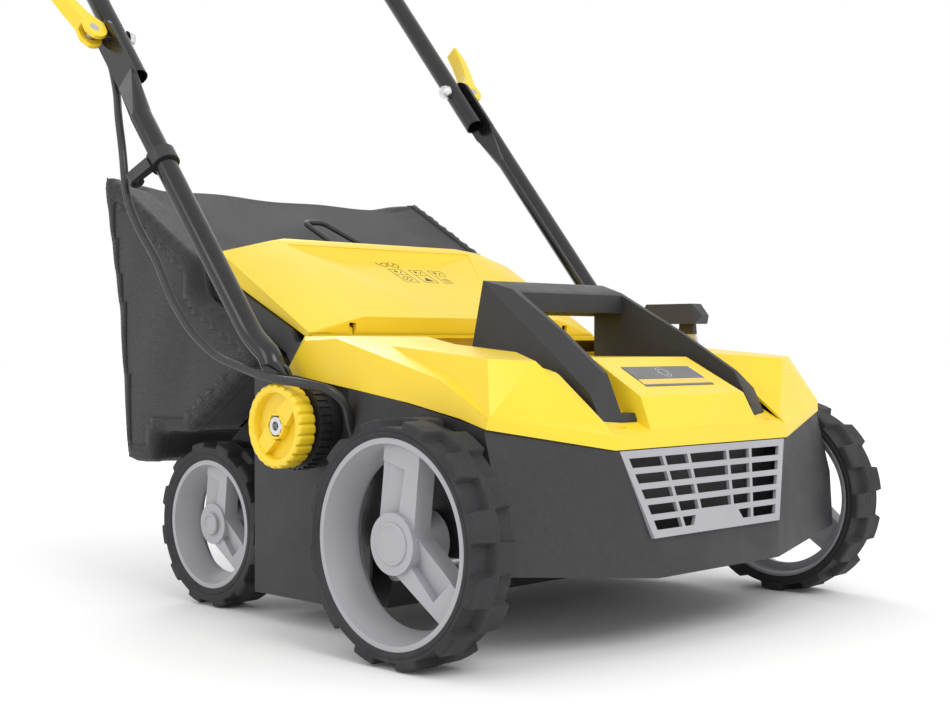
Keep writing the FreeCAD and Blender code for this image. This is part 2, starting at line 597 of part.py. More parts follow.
def make_lower_handle():
    first = V(0, cos(radians(67)), sin(radians(67)))
    discs = []
    for side, s in SIDES.items():
        eye_x = s * EYE_X
        eye_end = PIVOT + first * 42
        eye = arm((PIVOT_Y, PIVOT_Z), (eye_end.y, eye_end.z), 32, eye_x - EYE_T / 2, eye_x + EYE_T / 2)
        start = PIVOT + first * 57 + X * (s * LOWER_X)
        neck = pressed(start + first, first, eye_end - first * 2 + X * eye_x, EYE_T / 2 + 0.2)
        high = handle_point(s * LOWER_X, JOINT, -118)
        route = [start, PIVOT + first * 66 + X * (s * LOWER_X), V(s * LOWER_X, *LOWER_BEND), high]
        tube = rod(run_path(route, [25, 80]), TUBE_R)
        flat = handle_point(eye_x - s * 2.0, JOINT, -66)
        press = pressed(high - ALONG * 2, ALONG, flat + ALONG * 3, 2.5)
        end_low = eye_x - s * 2.0
        tip = arm((flat.y, flat.z), (JOINT_Y, JOINT_Z), 31, end_low - 2.2, end_low + 2.2)
        shape = fused([eye, neck, tube, press, tip])
        holes = [disc(s * 240, s * 280, 5 + RUN, PIVOT_Y, PIVOT_Z), disc(s * 240, s * 280, 3.1, JOINT_Y, JOINT_Z)]
        save(f"lower_tube_{side}", shape.cut(holes))
        moving = along_x(notched_disc(40, 1.6, 36), *sorted((s * 246.4, s * (EYE_X - EYE_T / 2))))
        discs.append(moving.cut(disc(s * 240, s * 280, 5 + RUN, PIVOT_Y, PIVOT_Z)))
    save_group("handle_discs", discs)
    fixed = [ring(s * DECK_REAR_X, s * 246.0, 39, 5.0, PIVOT_Y, PIVOT_Z) for s in (-1, 1)]
    save_group("deck_discs", fixed)
    bolts = [fused([disc(s * 226, s * 231, 10, PIVOT_Y, PIVOT_Z), disc(s * 231, s * 273, 5, PIVOT_Y, PIVOT_Z)])
             for s in (-1, 1)]
    save_group("pivot_bolts", bolts)


def knob_outline(radius, depth, flutes):
    points = []
    for i in range(flutes):
        for share, r in ((0, radius), (0.56, radius), (0.7, radius - depth), (0.86, radius - depth)):
            a = 2 * pi * (i + share) / flutes
            points.append((PIVOT_Y + r * cos(a), PIVOT_Z + r * sin(a)))
    return points


def make_knobs():
    """Fluted hand knobs, hollow in front but for a web across the middle."""
    for side, s in SIDES.items():
        x0, x1 = s * 262.2, s * 281.0
        body = along_x(knob_outline(37.5, 1.6, 24), *sorted((x0, x1)))
        hollow = disc(s * 272, s * 290, 29, PIVOT_Y, PIVOT_Z)
        web = arm((PIVOT_Y - 20, PIVOT_Z + 20), (PIVOT_Y + 20, PIVOT_Z - 20), 20, *sorted((s * 270, s * 279)))
        web = web.common(disc(s * 270, s * 280, 30, PIVOT_Y, PIVOT_Z))
        body = body.cut(hollow).fuse(web)
        socket = along_x(hexagon(17, PIVOT_Y, PIVOT_Z), *sorted((s * 273.2, s * 290)))
        save(f"handle_knob_{side}", body.cut([socket, disc(s * 250, s * 290, 5 + RUN, PIVOT_Y, PIVOT_Z)]))


def make_upper_handle():
    low = [handle_point(s * UPPER_X, JOINT, -60) for s in (-1, 1)]
    high = [handle_point(s * UPPER_X, JOINT, HANDLE_LENGTH) for s in (-1, 1)]
    route = run_path([low[0], high[0], high[1], low[1]], [62, 62])
    tube = rod(route, TUBE_R).cut(rod(route, TUBE_R - TUBE_WALL))
    bores = [disc(s * 225, s * 280, 3.1, JOINT_Y, JOINT_Z) for s in (-1, 1)]
    save("upper_tube", tube.cut(bores))
    bar = handle_point(0, JOINT, HANDLE_LENGTH)
    grip = disc(-96, 165, 16, bar.y, bar.z).cut(disc(-97, 166, TUBE_R, bar.y, bar.z))
    save("grip_sleeve", grip)


def tilted(points, low, high, base):
    """An outline of (along, across) points in the handle's own slope, pushed from x = low to x = high."""
    corners = [handle_point(low, base, a, c) for a, c in points]
    return Part.Face(wire(corners)).extrude(X * (high - low))


def make_controls():
    """Switch box with its lid, start button, spring-loaded bail, mains inlet and cord hook."""
    bar = handle_point(0, JOINT, HANDLE_LENGTH)
    x0, x1 = -176.0, -100.0
    bottom = tilted([(20, 0), (20, -24), (-92, -26), (-104, -18), (-104, 0)], x0, x1, bar)
    bottom = rounded(bottom, 4, lambda m, e: (m - bar).dot(ACROSS) < -2 and e.Length > 9)
    gland_at = handle_point(x0, bar, -72, -13)
    bottom = bottom.fuse(Part.makeCylinder(7.5, 9, gland_at + X * 3, X * -1).cut(
        Part.makeCylinder(CABLE_R + 0.1, 6, gland_at, X * -1)))
    hollow = tilted([(-15, 2), (-15, -20), (-90, -22), (-90, 2)], x0 + WALL, x1 - WALL, bar)
    clear = disc(-200, 200, TUBE_R, bar.y, bar.z)
    inlet_axis = handle_point(-138, bar, -104, -10)
    socket = Part.makeCylinder(13, 25.2, inlet_axis - ALONG, ALONG)
    pivot = handle_point(0, bar, -35, -2)
    bail_hole = disc(x1 - 6, x1 + 5, 4.5 + RUN, pivot.y, pivot.z)
    save("switch_box", bottom.cut([hollow, clear, socket, bail_hole]))
    lid = tilted([(20, 0.0), (20, 20), (-60, 24), (-96, 14), (-104, 0.0)], x0, x1, bar)
    lid = rounded(lid, 5, lambda m, e: (m - bar).dot(ACROSS) > 2 and e.Length > 9)
    lid_hollow = tilted([(-15, -2), (-15, 16), (-58, 20), (-90, 11), (-90, -2)], x0 + WALL, x1 - WALL, bar)
    button_at = handle_point(-122, bar, -34, 0)
    well = Part.makeCylinder(9, 60, button_at, ACROSS)
    save("switch_box_lid", lid.cut([lid_hollow, clear, well, bail_hole]))
    button = Part.makeCylinder(8.6, 16, button_at + ACROSS * 13, ACROSS)
    save("start_button", button.fuse(Part.makeCylinder(11, 3, button_at + ACROSS * 13, ACROSS)))
    pins = []
    for dx in (-9.5, 9.5):
        base = inlet_axis + X * dx + ALONG * 22
        pins.append(Part.makeCylinder(2.4, 19, base, ALONG * -1))
    plate = Part.makeCylinder(13, 2, inlet_axis + ALONG * 21.9, ALONG)
    save("inlet_pins", fused([plate] + pins))
    bail_points = [V(x1 - 4, 0, 0) + pivot, V(x1 + 14, 0, 0) + pivot, handle_point(x1 + 30, bar, -34, 34),
                   handle_point(142, bar, -34, 34), handle_point(158, bar, -35, -2),
                   handle_point(176, bar, -35, -2)]
    save("bail_lever", rod(run_path(bail_points, [8, 10, 14, 8]), 4.5))
    end = ring(168, 182, 15, TUBE_R, bar.y, bar.z).fuse(
        tilted([(-12, -10), (-12, 8), (-44, 8), (-44, -10)], 168, 182, bar))
    end = end.cut([disc(160, 190, TUBE_R, bar.y, bar.z), disc(160, 177, 4.5 + RUN, pivot.y, pivot.z)])
    save("bail_clamp", end)
    hook = [handle_point(x0, bar, -8, -14), handle_point(x0 - 16, bar, -8, -14),
            handle_point(x0 - 16, bar, -34, -14), handle_point(x0 - 5, bar, -41, -14)]
    save("cord_hook", rod(run_path(hook, [7, 5]), 3.5))


def make_quick_levers():
    """Cam levers that clamp the two handle tubes: a strap along the tube, forked round a steel barrel."""
    for side, s in SIDES.items():
        pin = handle_point(s * 274.7, JOINT, 0, 0)
        nose = [(13.8 * cos(radians(a)), 274.7 + 13.8 * sin(radians(a))) for a in range(-90, -221, -22)]
        profile = nose + [(-4, 286), (14, 285), (36, 292), (62, 298), (84, 297), (86, 293), (64, 289), (42, 283),
                          (22, 274), (12, 264), (8, 260.9)]
        corners = [handle_point(s * x, JOINT, a, -9) for a, x in profile]
        strap = Part.Face(wire(corners)).extrude(ACROSS * 18)
        ribs = []
        for k in range(5):
            at = handle_point(s * (283.5 + 2.2 * k), JOINT, 34 + 9 * k, -9)
            ribs.append(Part.makeCylinder(2.0, 18, at, ACROSS))
        slot = Part.Face(wire([handle_point(s * x, JOINT, a, -4.2) for a, x in
                               ((-20, 250), (-20, 300), (9, 300), (9, 250))])).extrude(ACROSS * 8.4)
        bore = Part.makeCylinder(5 + RUN, 60, pin - ACROSS * 30, ACROSS)
        save(f"clamp_lever_{side}", fused([strap] + ribs).cut([slot, bore]))
    studs, barrels, nuts = [], [], []
    for s in (-1, 1):
        pin = handle_point(s * 274.7, JOINT, 0, 0)
        barrel = Part.makeCylinder(5, 17, pin - ACROSS * 8.5, ACROSS)
        stud = disc(s * 226, s * 271, 3, JOINT_Y, JOINT_Z)
        studs.append(fused([barrel, stud]))
        nuts.append(turned([(s * 233.3, 0), (s * 233.3, 8.5), (s * 229, 8.5), (s * 226.5, 7.4), (s * 224.6, 4),
                            (s * 224, 0)], JOINT_Y, JOINT_Z).cut(stud))
    save_group("clamp_studs", studs)
    save_group("dome_nuts", nuts)


def make_cable():
    """The motor lead, from the switch box down the right tubes, through a clip and into the deck."""
    upper = [handle_point(-229.0, JOINT, 382, 0), handle_point(-229.0, JOINT, 330), handle_point(-228.6, JOINT, 276),
             handle_point(-229.2, JOINT, 222), handle_point(-228.7, JOINT, 168), handle_point(-229, JOINT, 114, -1),
             handle_point(-231, JOINT, 64, -9), handle_point(-238.5, JOINT, 27, -15.5)]
    box = handle_point(0, JOINT, HANDLE_LENGTH)
    lead_in = [handle_point(-176, box, -72, -13), handle_point(-197, box, -73, -13),
               handle_point(-214, box, -88, -10), handle_point(-225, box, -116, -4)]
    save("cable_upper", cord("cable_upper", lead_in + upper))
    lower = [upper[-1], handle_point(-246, JOINT, -10, -22), handle_point(-255, JOINT, -55, -24),
             handle_point(-272, JOINT, -100, -22), handle_point(-282, JOINT, -142, -26), V(-283, 226, 402),
             V(-283, 205, 372), V(-284, 170, 338), V(-285, 147, 303), V(-284, 116, 271), V(-283, 76, 247),
             V(-282.5, 39, 238)]
    save("cable_lower", cord("cable_lower", lower))
    deck = [lower[-1], V(-282, 2, 229), V(-277, -34, 226), V(-264, -60, 221), V(-251, -68, 208),
            V(-246, -67, 190), V(-236, -62, 176)]
    save("cable_deck", cord("cable_deck", deck))
    top, bend = handle_point(-LOWER_X, JOINT, -118), V(-LOWER_X, *LOWER_BEND)
    way = (top - bend).normalize()
    at = top - way * 68
    through = Part.makeCylinder(TUBE_R, 40, at - way * 12, way)
    band = Part.makeCylinder(14.5, 15, at, way).cut(through)
    near = handle_point(-282.3, JOINT, -186, -27)
    eye = Part.makeCylinder(7, 12, near, ALONG).cut(Part.makeCylinder(CABLE_R + 0.6, 14, near - ALONG, ALONG))
    link = Part.Face(wire([handle_point(-272, JOINT, -186, -8), handle_point(-280, JOINT, -186, -3),
                           handle_point(-288, JOINT, -186, -22), handle_point(-279, JOINT, -186, -22)])
                     ).extrude(ALONG * 12)
    link = link.cut([through, Part.makeCylinder(CABLE_R + 0.6, 14, near - ALONG, ALONG)])
    save("cable_clip", fused([band, eye, link]))


# ---- flap and bag --------------------------------------------------------------------------------
def make_flap():
    """The yellow discharge flap: a ridged lid with a sunken field, side lips and a hinge barrel inside."""
    form = block(both([(205, 39, 270), (186, 37, 271), (140, 36, 285.5), (208, 175, 351), (151, 169.6, 364.3),
                       (124.5, 179, 368.5), (208, 177, 331), (205, 40, 264.5)]))
    rim_line = [(132, 166, 361), (94, 108, 327.3), (40, 54, 295.9), (4, 44, 290.1)]
    floor = [(70, 158, 347.3), (60, 120, 328.2), (30, 70, 303.2)]
    field = block(both(rim_line + floor + [(x, y - 12, z + 24) for x, y, z in rim_line]))
    core = form.translated(V(0, 0, -WALL)).common(along_x([(40.5, 150), (40.5, 420), (176, 420), (176, 150)],
                                                         -205, 205))
    shell = form.cut([core.cut(field.translated(V(0, 0, -WALL))), field])
    barrel = disc(4 - FLAP_LUG_X, FLAP_LUG_X - 4, 6.2, FLAP_Y, FLAP_Z)
    webs = [along_x([(39, 267), (44, 268), (47, 276), (47, 287), (39, 282)], x - 2, x + 2)
            for x in (-110, -40, 40, 110)]
    bore = disc(-187, 187, 3.0 + RUN, FLAP_Y, FLAP_Z)
    slots = [along_x([(30, 255), (55, 255), (55, 279.5), (30, 279.5)],
                     *sorted((s * (FLAP_LUG_X - 0.6), s * (FLAP_LUG_X + 7.6)))) for s in (-1, 1)]
    save("rear_flap", shell.fuse([barrel] + webs).cut([bore] + slots).removeSplitter())
    save("flap_rod", disc(-FLAP_LUG_X - 9, FLAP_LUG_X + 9, 3.0, FLAP_Y, FLAP_Z))


def make_bag():
    """The grass bag: a closed cloth box with its mouth over the chute, its frame and its wire handle."""
    side = [(74, 253), (188, 306), (195, 344), (361, 443), (330, 300), (318, 190), (314, 137), (262, 138),
            (256, 172), (200, 172)]
    outer = along_x(side, -BAG_X, BAG_X)
    front = along_y([(-196, 450), (-230, 320), (-230, 130), (230, 130), (230, 320), (196, 450)], 0, 400)
    front = front.fuse(along_y([(-230, 450), (-230, 120), (230, 120), (230, 450)], 190, 400))
    inside = [(81, 252.9), (190.9, 304.1), (197.9, 342.3), (356, 436.6), (326.5, 300), (315, 190), (311, 140.5),
              (265, 141.5), (259, 175), (202, 175)]
    inner = along_x(inside, -BAG_X + 3, BAG_X - 3)
    mouth = along_x([(58, 256), (190, 163), (205, 176), (82, 258)], -170, 170)
    bag = outer.common(front).cut([inner.common(front), mouth])
    rail = [(42, 240), (42, 261), (52, 261.5), (60, 273.2), (177, 329.6), (183, 329.6), (183, 307), (177, 304.5),
            (66, 251), (58, 240)]
    frame = [along_x(rail, *sorted((s * 200, s * 211))) for s in (-1, 1)]
    frame.append(along_x([(179, 318), (183, 318), (183, 328), (179, 328)], -205, 205))
    save("bag_frame", fused(frame))
    loop = [V(-13.5, 214, 361.5), V(-22, 274, 396.5), V(8, 276, 397.5), V(34, 214, 361.5)]
    feet = [loop[0] + V(0, -1, -9), loop[-1] + V(0, -1, -9)]
    save("bag_handle", rod(run_path([feet[0]] + loop + [feet[1]], [4, 8, 8, 4]), 3))
    save("grass_bag", bag)


os.makedirs("parts", exist_ok=True)
make_wheels()
FORM = make_cover()
make_badge()
make_carry_handle(FORM)
make_deck(FORM)
make_grille()
make_rotor()
make_drive()
make_axles()
make_lower_handle()
make_knobs()
make_upper_handle()
make_controls()
make_quick_levers()
make_cable()
make_flap()
make_bag()
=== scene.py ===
"""Looks of the lawn dethatcher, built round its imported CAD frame.

Metres. +Z is up, the grille faces -Y, the bag and the handle are towards +Y. Right is -X, the side of the
motor lead. Sizes in the tables are in millimetres, and MM turns them into metres.
"""
import json
import math

import bmesh
import bpy
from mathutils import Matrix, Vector
from mathutils.bvhtree import BVHTree

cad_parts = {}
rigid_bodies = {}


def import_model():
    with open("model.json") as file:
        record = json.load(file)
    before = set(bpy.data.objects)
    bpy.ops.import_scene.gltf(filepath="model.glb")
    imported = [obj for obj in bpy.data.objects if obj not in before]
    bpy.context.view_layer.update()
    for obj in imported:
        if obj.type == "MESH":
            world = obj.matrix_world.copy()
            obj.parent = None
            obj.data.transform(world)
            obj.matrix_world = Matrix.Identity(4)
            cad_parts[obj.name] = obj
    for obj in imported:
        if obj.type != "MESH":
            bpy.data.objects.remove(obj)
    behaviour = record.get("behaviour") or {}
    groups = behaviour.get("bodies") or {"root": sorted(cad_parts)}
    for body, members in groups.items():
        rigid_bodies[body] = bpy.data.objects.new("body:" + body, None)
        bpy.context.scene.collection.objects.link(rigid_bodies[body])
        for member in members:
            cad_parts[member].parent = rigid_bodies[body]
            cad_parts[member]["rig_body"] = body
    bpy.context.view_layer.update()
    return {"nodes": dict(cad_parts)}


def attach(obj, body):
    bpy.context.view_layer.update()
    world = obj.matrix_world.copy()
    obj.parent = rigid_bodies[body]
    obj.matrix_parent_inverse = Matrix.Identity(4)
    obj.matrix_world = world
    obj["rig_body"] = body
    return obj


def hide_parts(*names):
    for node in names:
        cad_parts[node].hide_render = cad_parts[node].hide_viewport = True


bl_info = {
    "name": "Lawn dethatcher looks",
    "version": (1, 0, 0),
    "blender": (4, 5, 0),
    "location": "3D View > Sidebar > Dethatcher",
    "description": "Finishes the dethatcher's CAD frame: soft edges, tread, cloth, fittings and materials",
    "category": "Object",
}

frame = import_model()
MM = 0.001
SIDES = {"right": -1, "left": 1}
CAD_WELD = 5e-6
OWN_WELD = 2e-6
WAVE_PITCH = 0.31416


# ---- materials -----------------------------------------------------------------------------------
class Finish:
    """A surface material, built in steps: base, then tints, roughness and relief from patterns."""

    def __init__(self, name, colour, roughness, metallic=0.0, specular=0.5, coat=0.0, coat_roughness=0.1,
                 sheen=0.0):
        self.material = bpy.data.materials.new(name)
        self.material.use_nodes = True
        self.nodes = self.material.node_tree.nodes
        self.links = self.material.node_tree.links
        self.shader = self.nodes["Principled BSDF"]
        for socket, value in (("Base Color", (*colour, 1)), ("Roughness", roughness), ("Metallic", metallic),
                              ("Specular IOR Level", specular), ("Coat Weight", coat),
                              ("Coat Roughness", coat_roughness), ("Sheen Weight", sheen)):
            self.shader.inputs[socket].default_value = value
        self.material.diffuse_color = (*colour, 1)
        self.colour = colour
        self.roughness = roughness
        self.where = self.nodes.new("ShaderNodeTexCoord")

    def place(self, stretch, uv=False):
        mapping = self.nodes.new("ShaderNodeMapping")
        mapping.inputs["Scale"].default_value = stretch
        self.links.new(self.where.outputs["UV" if uv else "Object"], mapping.inputs["Vector"])
        return mapping.outputs["Vector"]

    def noise(self, scale, detail=3.0, roughness=0.55, stretch=(1, 1, 1)):
        texture = self.nodes.new("ShaderNodeTexNoise")
        texture.inputs["Scale"].default_value = scale
        texture.inputs["Detail"].default_value = detail
        texture.inputs["Roughness"].default_value = roughness
        self.links.new(self.place(stretch), texture.inputs["Vector"])
        return texture.outputs["Fac"]

    def cells(self, scale):
        texture = self.nodes.new("ShaderNodeTexVoronoi")
        texture.inputs["Scale"].default_value = scale
        self.links.new(self.place((1, 1, 1)), texture.inputs["Vector"])
        return texture.outputs["Distance"]

    def threads(self, pitch, across):
        """Parallel threads of the given pitch, that run along the other way."""
        texture = self.nodes.new("ShaderNodeTexWave")
        texture.bands_direction = "X" if across == 0 else "Y"
        texture.wave_profile = "SIN"
        texture.inputs["Scale"].default_value = 1.0
        texture.inputs["Distortion"].default_value = 0.0
        turns = WAVE_PITCH / pitch
        self.links.new(self.place((turns, turns, turns), uv=True), texture.inputs["Vector"])
        return texture.outputs["Fac"]

    def ramp(self, value, low, high, to_low=0.0, to_high=1.0):
        node = self.nodes.new("ShaderNodeMapRange")
        for socket, number in zip(("From Min", "From Max", "To Min", "To Max"), (low, high, to_low, to_high)):
            node.inputs[socket].default_value = number
        self.links.new(value, node.inputs["Value"])
        return node.outputs["Result"]

    def combine(self, a, b, operation="MULTIPLY"):
        node = self.nodes.new("ShaderNodeMath")
        node.operation = operation
        self.links.new(a, node.inputs[0])
        self.links.new(b, node.inputs[1])
        return node.outputs["Value"]

    def tint(self, mask, colour, low=0.35, high=0.65, amount=1.0):
        """Blends the colour so far towards another where the pattern is high."""
        mix = self.nodes.new("ShaderNodeMix")
        mix.data_type = "RGBA"
        base = self.shader.inputs["Base Color"]
        if base.is_linked:
            self.links.new(base.links[0].from_socket, mix.inputs["A"])
        else:
            mix.inputs["A"].default_value = (*self.colour, 1)
        mix.inputs["B"].default_value = (*colour, 1)
        self.links.new(self.ramp(mask, low, high, 0.0, amount), mix.inputs["Factor"])
        self.links.new(mix.outputs["Result"], base)
        return self

    def gloss(self, mask, least, most, low=0.3, high=0.7):
        """Roughness that follows a pattern between two values."""
        self.links.new(self.ramp(mask, low, high, least, most), self.shader.inputs["Roughness"])
        return self

    def relief(self, height, depth, strength):
        """Raises the surface by the pattern, in metres, on top of the relief so far."""
        bump = self.nodes.new("ShaderNodeBump")
        bump.inputs["Distance"].default_value = depth
        bump.inputs["Strength"].default_value = strength
        normal = self.shader.inputs["Normal"]
        if normal.is_linked:
            self.links.new(normal.links[0].from_socket, bump.inputs["Normal"])
        self.links.new(height, bump.inputs["Height"])
        self.links.new(bump.outputs["Normal"], normal)
        return self

    def worn(self, colour, amount=0.35):
        """Convex edges rub lighter."""
        geometry = self.nodes.new("ShaderNodeNewGeometry")
        breakup = self.noise(180, 4)
        edge = self.ramp(geometry.outputs["Pointiness"], 0.515, 0.56)
        return self.tint(self.combine(edge, breakup), colour, 0.25, 0.7, amount)


def moulded(name, colour, roughness, grain, depth, shade, coat=0.0):
    """Moulded plastic: a fine even grain, cloudy gloss, and slow colour drift."""
    finish = Finish(name, colour, roughness, coat=coat, coat_roughness=0.25)
    darker = tuple(c * shade for c in colour)
    finish.tint(finish.noise(9, 3), darker, 0.35, 0.75, 0.8)
    finish.tint(finish.noise(1400, 2), darker, 0.45, 0.9, 0.5)
    finish.gloss(finish.noise(26, 4), roughness - 0.05, roughness + 0.07)
    finish.relief(finish.noise(grain, 3, 0.6), depth, 0.6)
    return finish


def leathered(name, colour, roughness):
    """Dark plastic with a spark-eroded, pebbled skin."""
    finish = Finish(name, colour, roughness, specular=0.4)
    finish.tint(finish.noise(7, 3), tuple(c * 0.86 for c in colour), 0.35, 0.7, 0.5)
    pebbles = finish.cells(620)
    finish.tint(pebbles, tuple(min(1, c * 1.25) for c in colour), 0.35, 0.75, 0.25)
    finish.gloss(finish.noise(30, 3), roughness - 0.06, roughness + 0.08)
    finish.relief(pebbles, 0.00022, 0.55)
    finish.relief(finish.noise(1500, 2), 0.00008, 0.4)
    finish.worn(tuple(c * 2.2 for c in colour), 0.3)
    return finish


def rubber(name, colour, roughness=0.72):
    finish = Finish(name, colour, roughness, specular=0.35)
    finish.tint(finish.noise(14, 5), tuple(c * 1.7 for c in colour), 0.45, 0.75, 0.5)
    finish.tint(finish.cells(1100), tuple(c * 3.0 for c in colour), 0.62, 0.9, 0.35)
    finish.gloss(finish.noise(45, 4), roughness - 0.14, roughness + 0.1)
    finish.relief(finish.noise(1200, 4, 0.65), 0.00012, 0.6)
    return finish


def lacquered(name, colour, roughness):
    """Powder-coated tube: deep gloss with a faint orange peel."""
    finish = Finish(name, colour, roughness, specular=0.4, coat=0.2, coat_roughness=0.08)
    finish.tint(finish.noise(11, 3), tuple(c * 1.6 for c in colour), 0.45, 0.75, 0.5)
    finish.gloss(finish.noise(60, 4), roughness - 0.04, roughness + 0.1)
    finish.relief(finish.noise(420, 2), 0.00008, 0.5)
    return finish


def metal(name, colour, roughness, brushed=(1, 1, 1), grain=700):
    finish = Finish(name, colour, roughness, metallic=1.0)
    finish.tint(finish.noise(40, 4), tuple(c * 0.7 for c in colour), 0.4, 0.8, 0.6)
    lines = finish.noise(grain, 4, 0.6, brushed)
    finish.gloss(lines, roughness - 0.08, roughness + 0.16)
    finish.relief(lines, 0.00004, 0.5)
    return finish


def woven(name, colour, pitch, shine, roughness=0.78, depth=0.0005):
    """Plain weave on the piece's own cloth directions, with a painted highlight on the thread crowns."""
    finish = Finish(name, colour, roughness, specular=0.4, sheen=0.15)
    warp = finish.threads(pitch, 0)
    weft = finish.threads(pitch, 1)
    crowns = finish.combine(warp, weft)
    holes = finish.combine(warp, weft, "MAXIMUM")
    finish.tint(finish.noise(16, 4), tuple(c * 1.5 for c in colour), 0.4, 0.75, 0.6)
    # Painted highlight: the shine colour is laid on the thread crowns.
    finish.tint(crowns, shine, 0.55, 1.0, 0.75)
    finish.gloss(finish.noise(900, 2), roughness - 0.28, roughness + 0.12, 0.35, 0.6)
    finish.relief(holes, depth, 0.8)
    finish.relief(finish.noise(700, 3), 0.0003, 0.4)
    return finish


def studio_floor():
    """A pale floor with a painted glow that brightens it away from the machine, into the white surround."""
    finish = Finish("floor", (0.9, 0.9, 0.9), 0.75, specular=0.1)
    finish.tint(finish.noise(3, 2), (0.885, 0.885, 0.885), 0.3, 0.7, 0.5)
    length = finish.nodes.new("ShaderNodeVectorMath")
    length.operation = "LENGTH"
    finish.links.new(finish.where.outputs["Object"], length.inputs[0])
    # Painted glow: the floor emits white light, more the farther it is from the machine.
    finish.shader.inputs["Emission Color"].default_value = (1, 1, 1, 1)
    finish.links.new(finish.ramp(length.outputs["Value"], 1.0, 3.2, 0.0, 0.12),
                     finish.shader.inputs["Emission Strength"])
    return finish


FINISHES = {}


def make_finishes():
    look = bpy.context.scene.dethatcher_colours
    yellow, grey = tuple(look.cover), tuple(look.rims)
    FINISHES.update({
        "cover_yellow": moulded("cover_yellow", yellow, 0.36, 800, 0.00007, 0.93, coat=0.12),
        "deck_black": leathered("deck_black", (0.024, 0.024, 0.026), 0.46),
        "rim_grey": moulded("rim_grey", grey, 0.42, 1100, 0.00005, 0.9),
        "grille_grey": moulded("grille_grey", grey, 0.4, 1000, 0.00006, 0.88),
        "tyre_black": rubber("tyre_black", (0.022, 0.022, 0.024)),
        "tube_black": lacquered("tube_black", (0.008, 0.008, 0.009), 0.2),
        "steel": metal("steel", (0.56, 0.56, 0.58), 0.3, (0.15, 1, 1)),
        "zinc": metal("zinc", (0.72, 0.72, 0.75), 0.24),
        "motor_metal": metal("motor_metal", (0.42, 0.42, 0.44), 0.42, (0.2, 1, 1), 500),
        "belt_rubber": rubber("belt_rubber", (0.025, 0.025, 0.026), 0.8),
        # The last colour of each woven finish below is its painted highlight on the thread crowns.
        "bag_cloth": woven("bag_cloth", (0.016, 0.016, 0.018), 0.0017, (0.10, 0.10, 0.11)),
        "bag_tape": woven("bag_tape", (0.016, 0.016, 0.017), 0.0011, (0.035, 0.035, 0.037), 0.85, 0.0003),
        "thread": woven("thread", (0.03, 0.03, 0.032), 0.0006, (0.07, 0.07, 0.075), 0.8, 0.0001),
        "grip_foam": rubber("grip_foam", (0.02, 0.02, 0.021), 0.9),
        "cable_black": lacquered("cable_black", (0.017, 0.017, 0.018), 0.42),
        "part_black": moulded("part_black", (0.024, 0.024, 0.026), 0.42, 900, 0.00008, 0.75),
        "button_red": moulded("button_red", (0.5, 0.018, 0.014), 0.28, 900, 0.00003, 0.9, coat=0.3),
        "plate": moulded("plate", (0.06, 0.062, 0.066), 0.3, 1200, 0.00002, 0.9, coat=0.3),
        "plate_yellow": moulded("plate_yellow", (0.75, 0.5, 0.02), 0.3, 1200, 0.00002, 0.93, coat=0.3),
        "print_white": moulded("print_white", (0.78, 0.78, 0.76), 0.45, 1000, 0.00002, 0.95),
        "print_black": moulded("print_black", (0.02, 0.02, 0.02), 0.45, 1000, 0.00002, 0.8),
        "spacer_nylon": moulded("spacer_nylon", (0.1, 0.1, 0.1), 0.5, 900, 0.00004, 0.9),
        "floor": studio_floor(),
    })


SLOT_OF = {
    "cover_yellow": ("top_cover", "rear_flap", "handle_knob", "clamp_lever"),
    "deck_black": ("deck_housing", "carry_handle"),
    "rim_grey": ("front_rim", "rear_rim", "front_hub_cap", "rear_hub_cap"),
    "grille_grey": ("front_grille",),
    "tyre_black": ("front_tyre", "rear_tyre"),
    "tube_black": ("lower_tube", "upper_tube"),
    "steel": ("pivot_bolts", "clamp_studs", "rotor_shaft", "front_axle", "rear_axle", "flap_rod",
              "rotor_bearings", "rotor_blades"),
    "zinc": ("dome_nuts", "cover_screws", "inlet_pins"),
    "motor_metal": ("motor_housing", "motor_armature", "motor_pulley", "rotor_pulley"),
    "belt_rubber": ("drive_belt",),
    "bag_cloth": ("grass_bag",),
    "grip_foam": ("grip_sleeve",),
    "cable_black": ("cable_upper", "cable_lower", "cable_deck"),
    "part_black": ("switch_box", "switch_box_lid", "bail_clamp", "bail_lever", "cord_hook", "cable_clip",
                   "deck_discs", "handle_discs", "height_knob", "bag_frame", "bag_handle", "axle_clamps"),
    "button_red": ("start_button",),
    "plate": ("badge_plate",),
    "spacer_nylon": ("rotor_spacers",),
}


def slot_for(node):
    for name, starts in SLOT_OF.items():
        if any(node == start or node.startswith(start + "_") for start in starts):
            return name
    raise RuntimeError(f"no finish is named for {node}")


# ---- shared ways of making pieces ------------------------------------------------------------------
def new_object(name, mesh):
    piece = bpy.data.objects.new(name, mesh)
    bpy.context.scene.collection.objects.link(piece)
    return piece


def from_faces(name, points, faces, finish, smooth=True):
    mesh = bpy.data.meshes.new(name)
    mesh.from_pydata([tuple(p) for p in points], [], faces)
    mesh.materials.append(FINISHES[finish].material)
    mesh.polygons.foreach_set("use_smooth", [smooth] * len(mesh.polygons))
    mesh.update()
    return new_object(name, mesh)


def worked_in(piece):
    """Swaps the piece's mesh for its finished one, so that no modifier is left on it."""
    depsgraph = bpy.context.evaluated_depsgraph_get()
    mesh = bpy.data.meshes.new_from_object(piece.evaluated_get(depsgraph), preserve_all_data_layers=True,
                                           depsgraph=depsgraph)
    piece.modifiers.clear()
    piece.data = mesh
    mesh.name = piece.name
    return piece


def settle(piece, body, slot, *nodes):
    """Puts a finished piece on its CAD body, in place of its CAD nodes."""
    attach(piece, body)
    if nodes:
        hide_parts(*nodes)
    return piece


def outward(piece):
    form = bmesh.new()
    form.from_mesh(piece.data)
    bmesh.ops.remove_doubles(form, verts=form.verts, dist=OWN_WELD)
    bmesh.ops.recalc_face_normals(form, faces=form.faces)
    form.to_mesh(piece.data)
    form.free()
    return piece


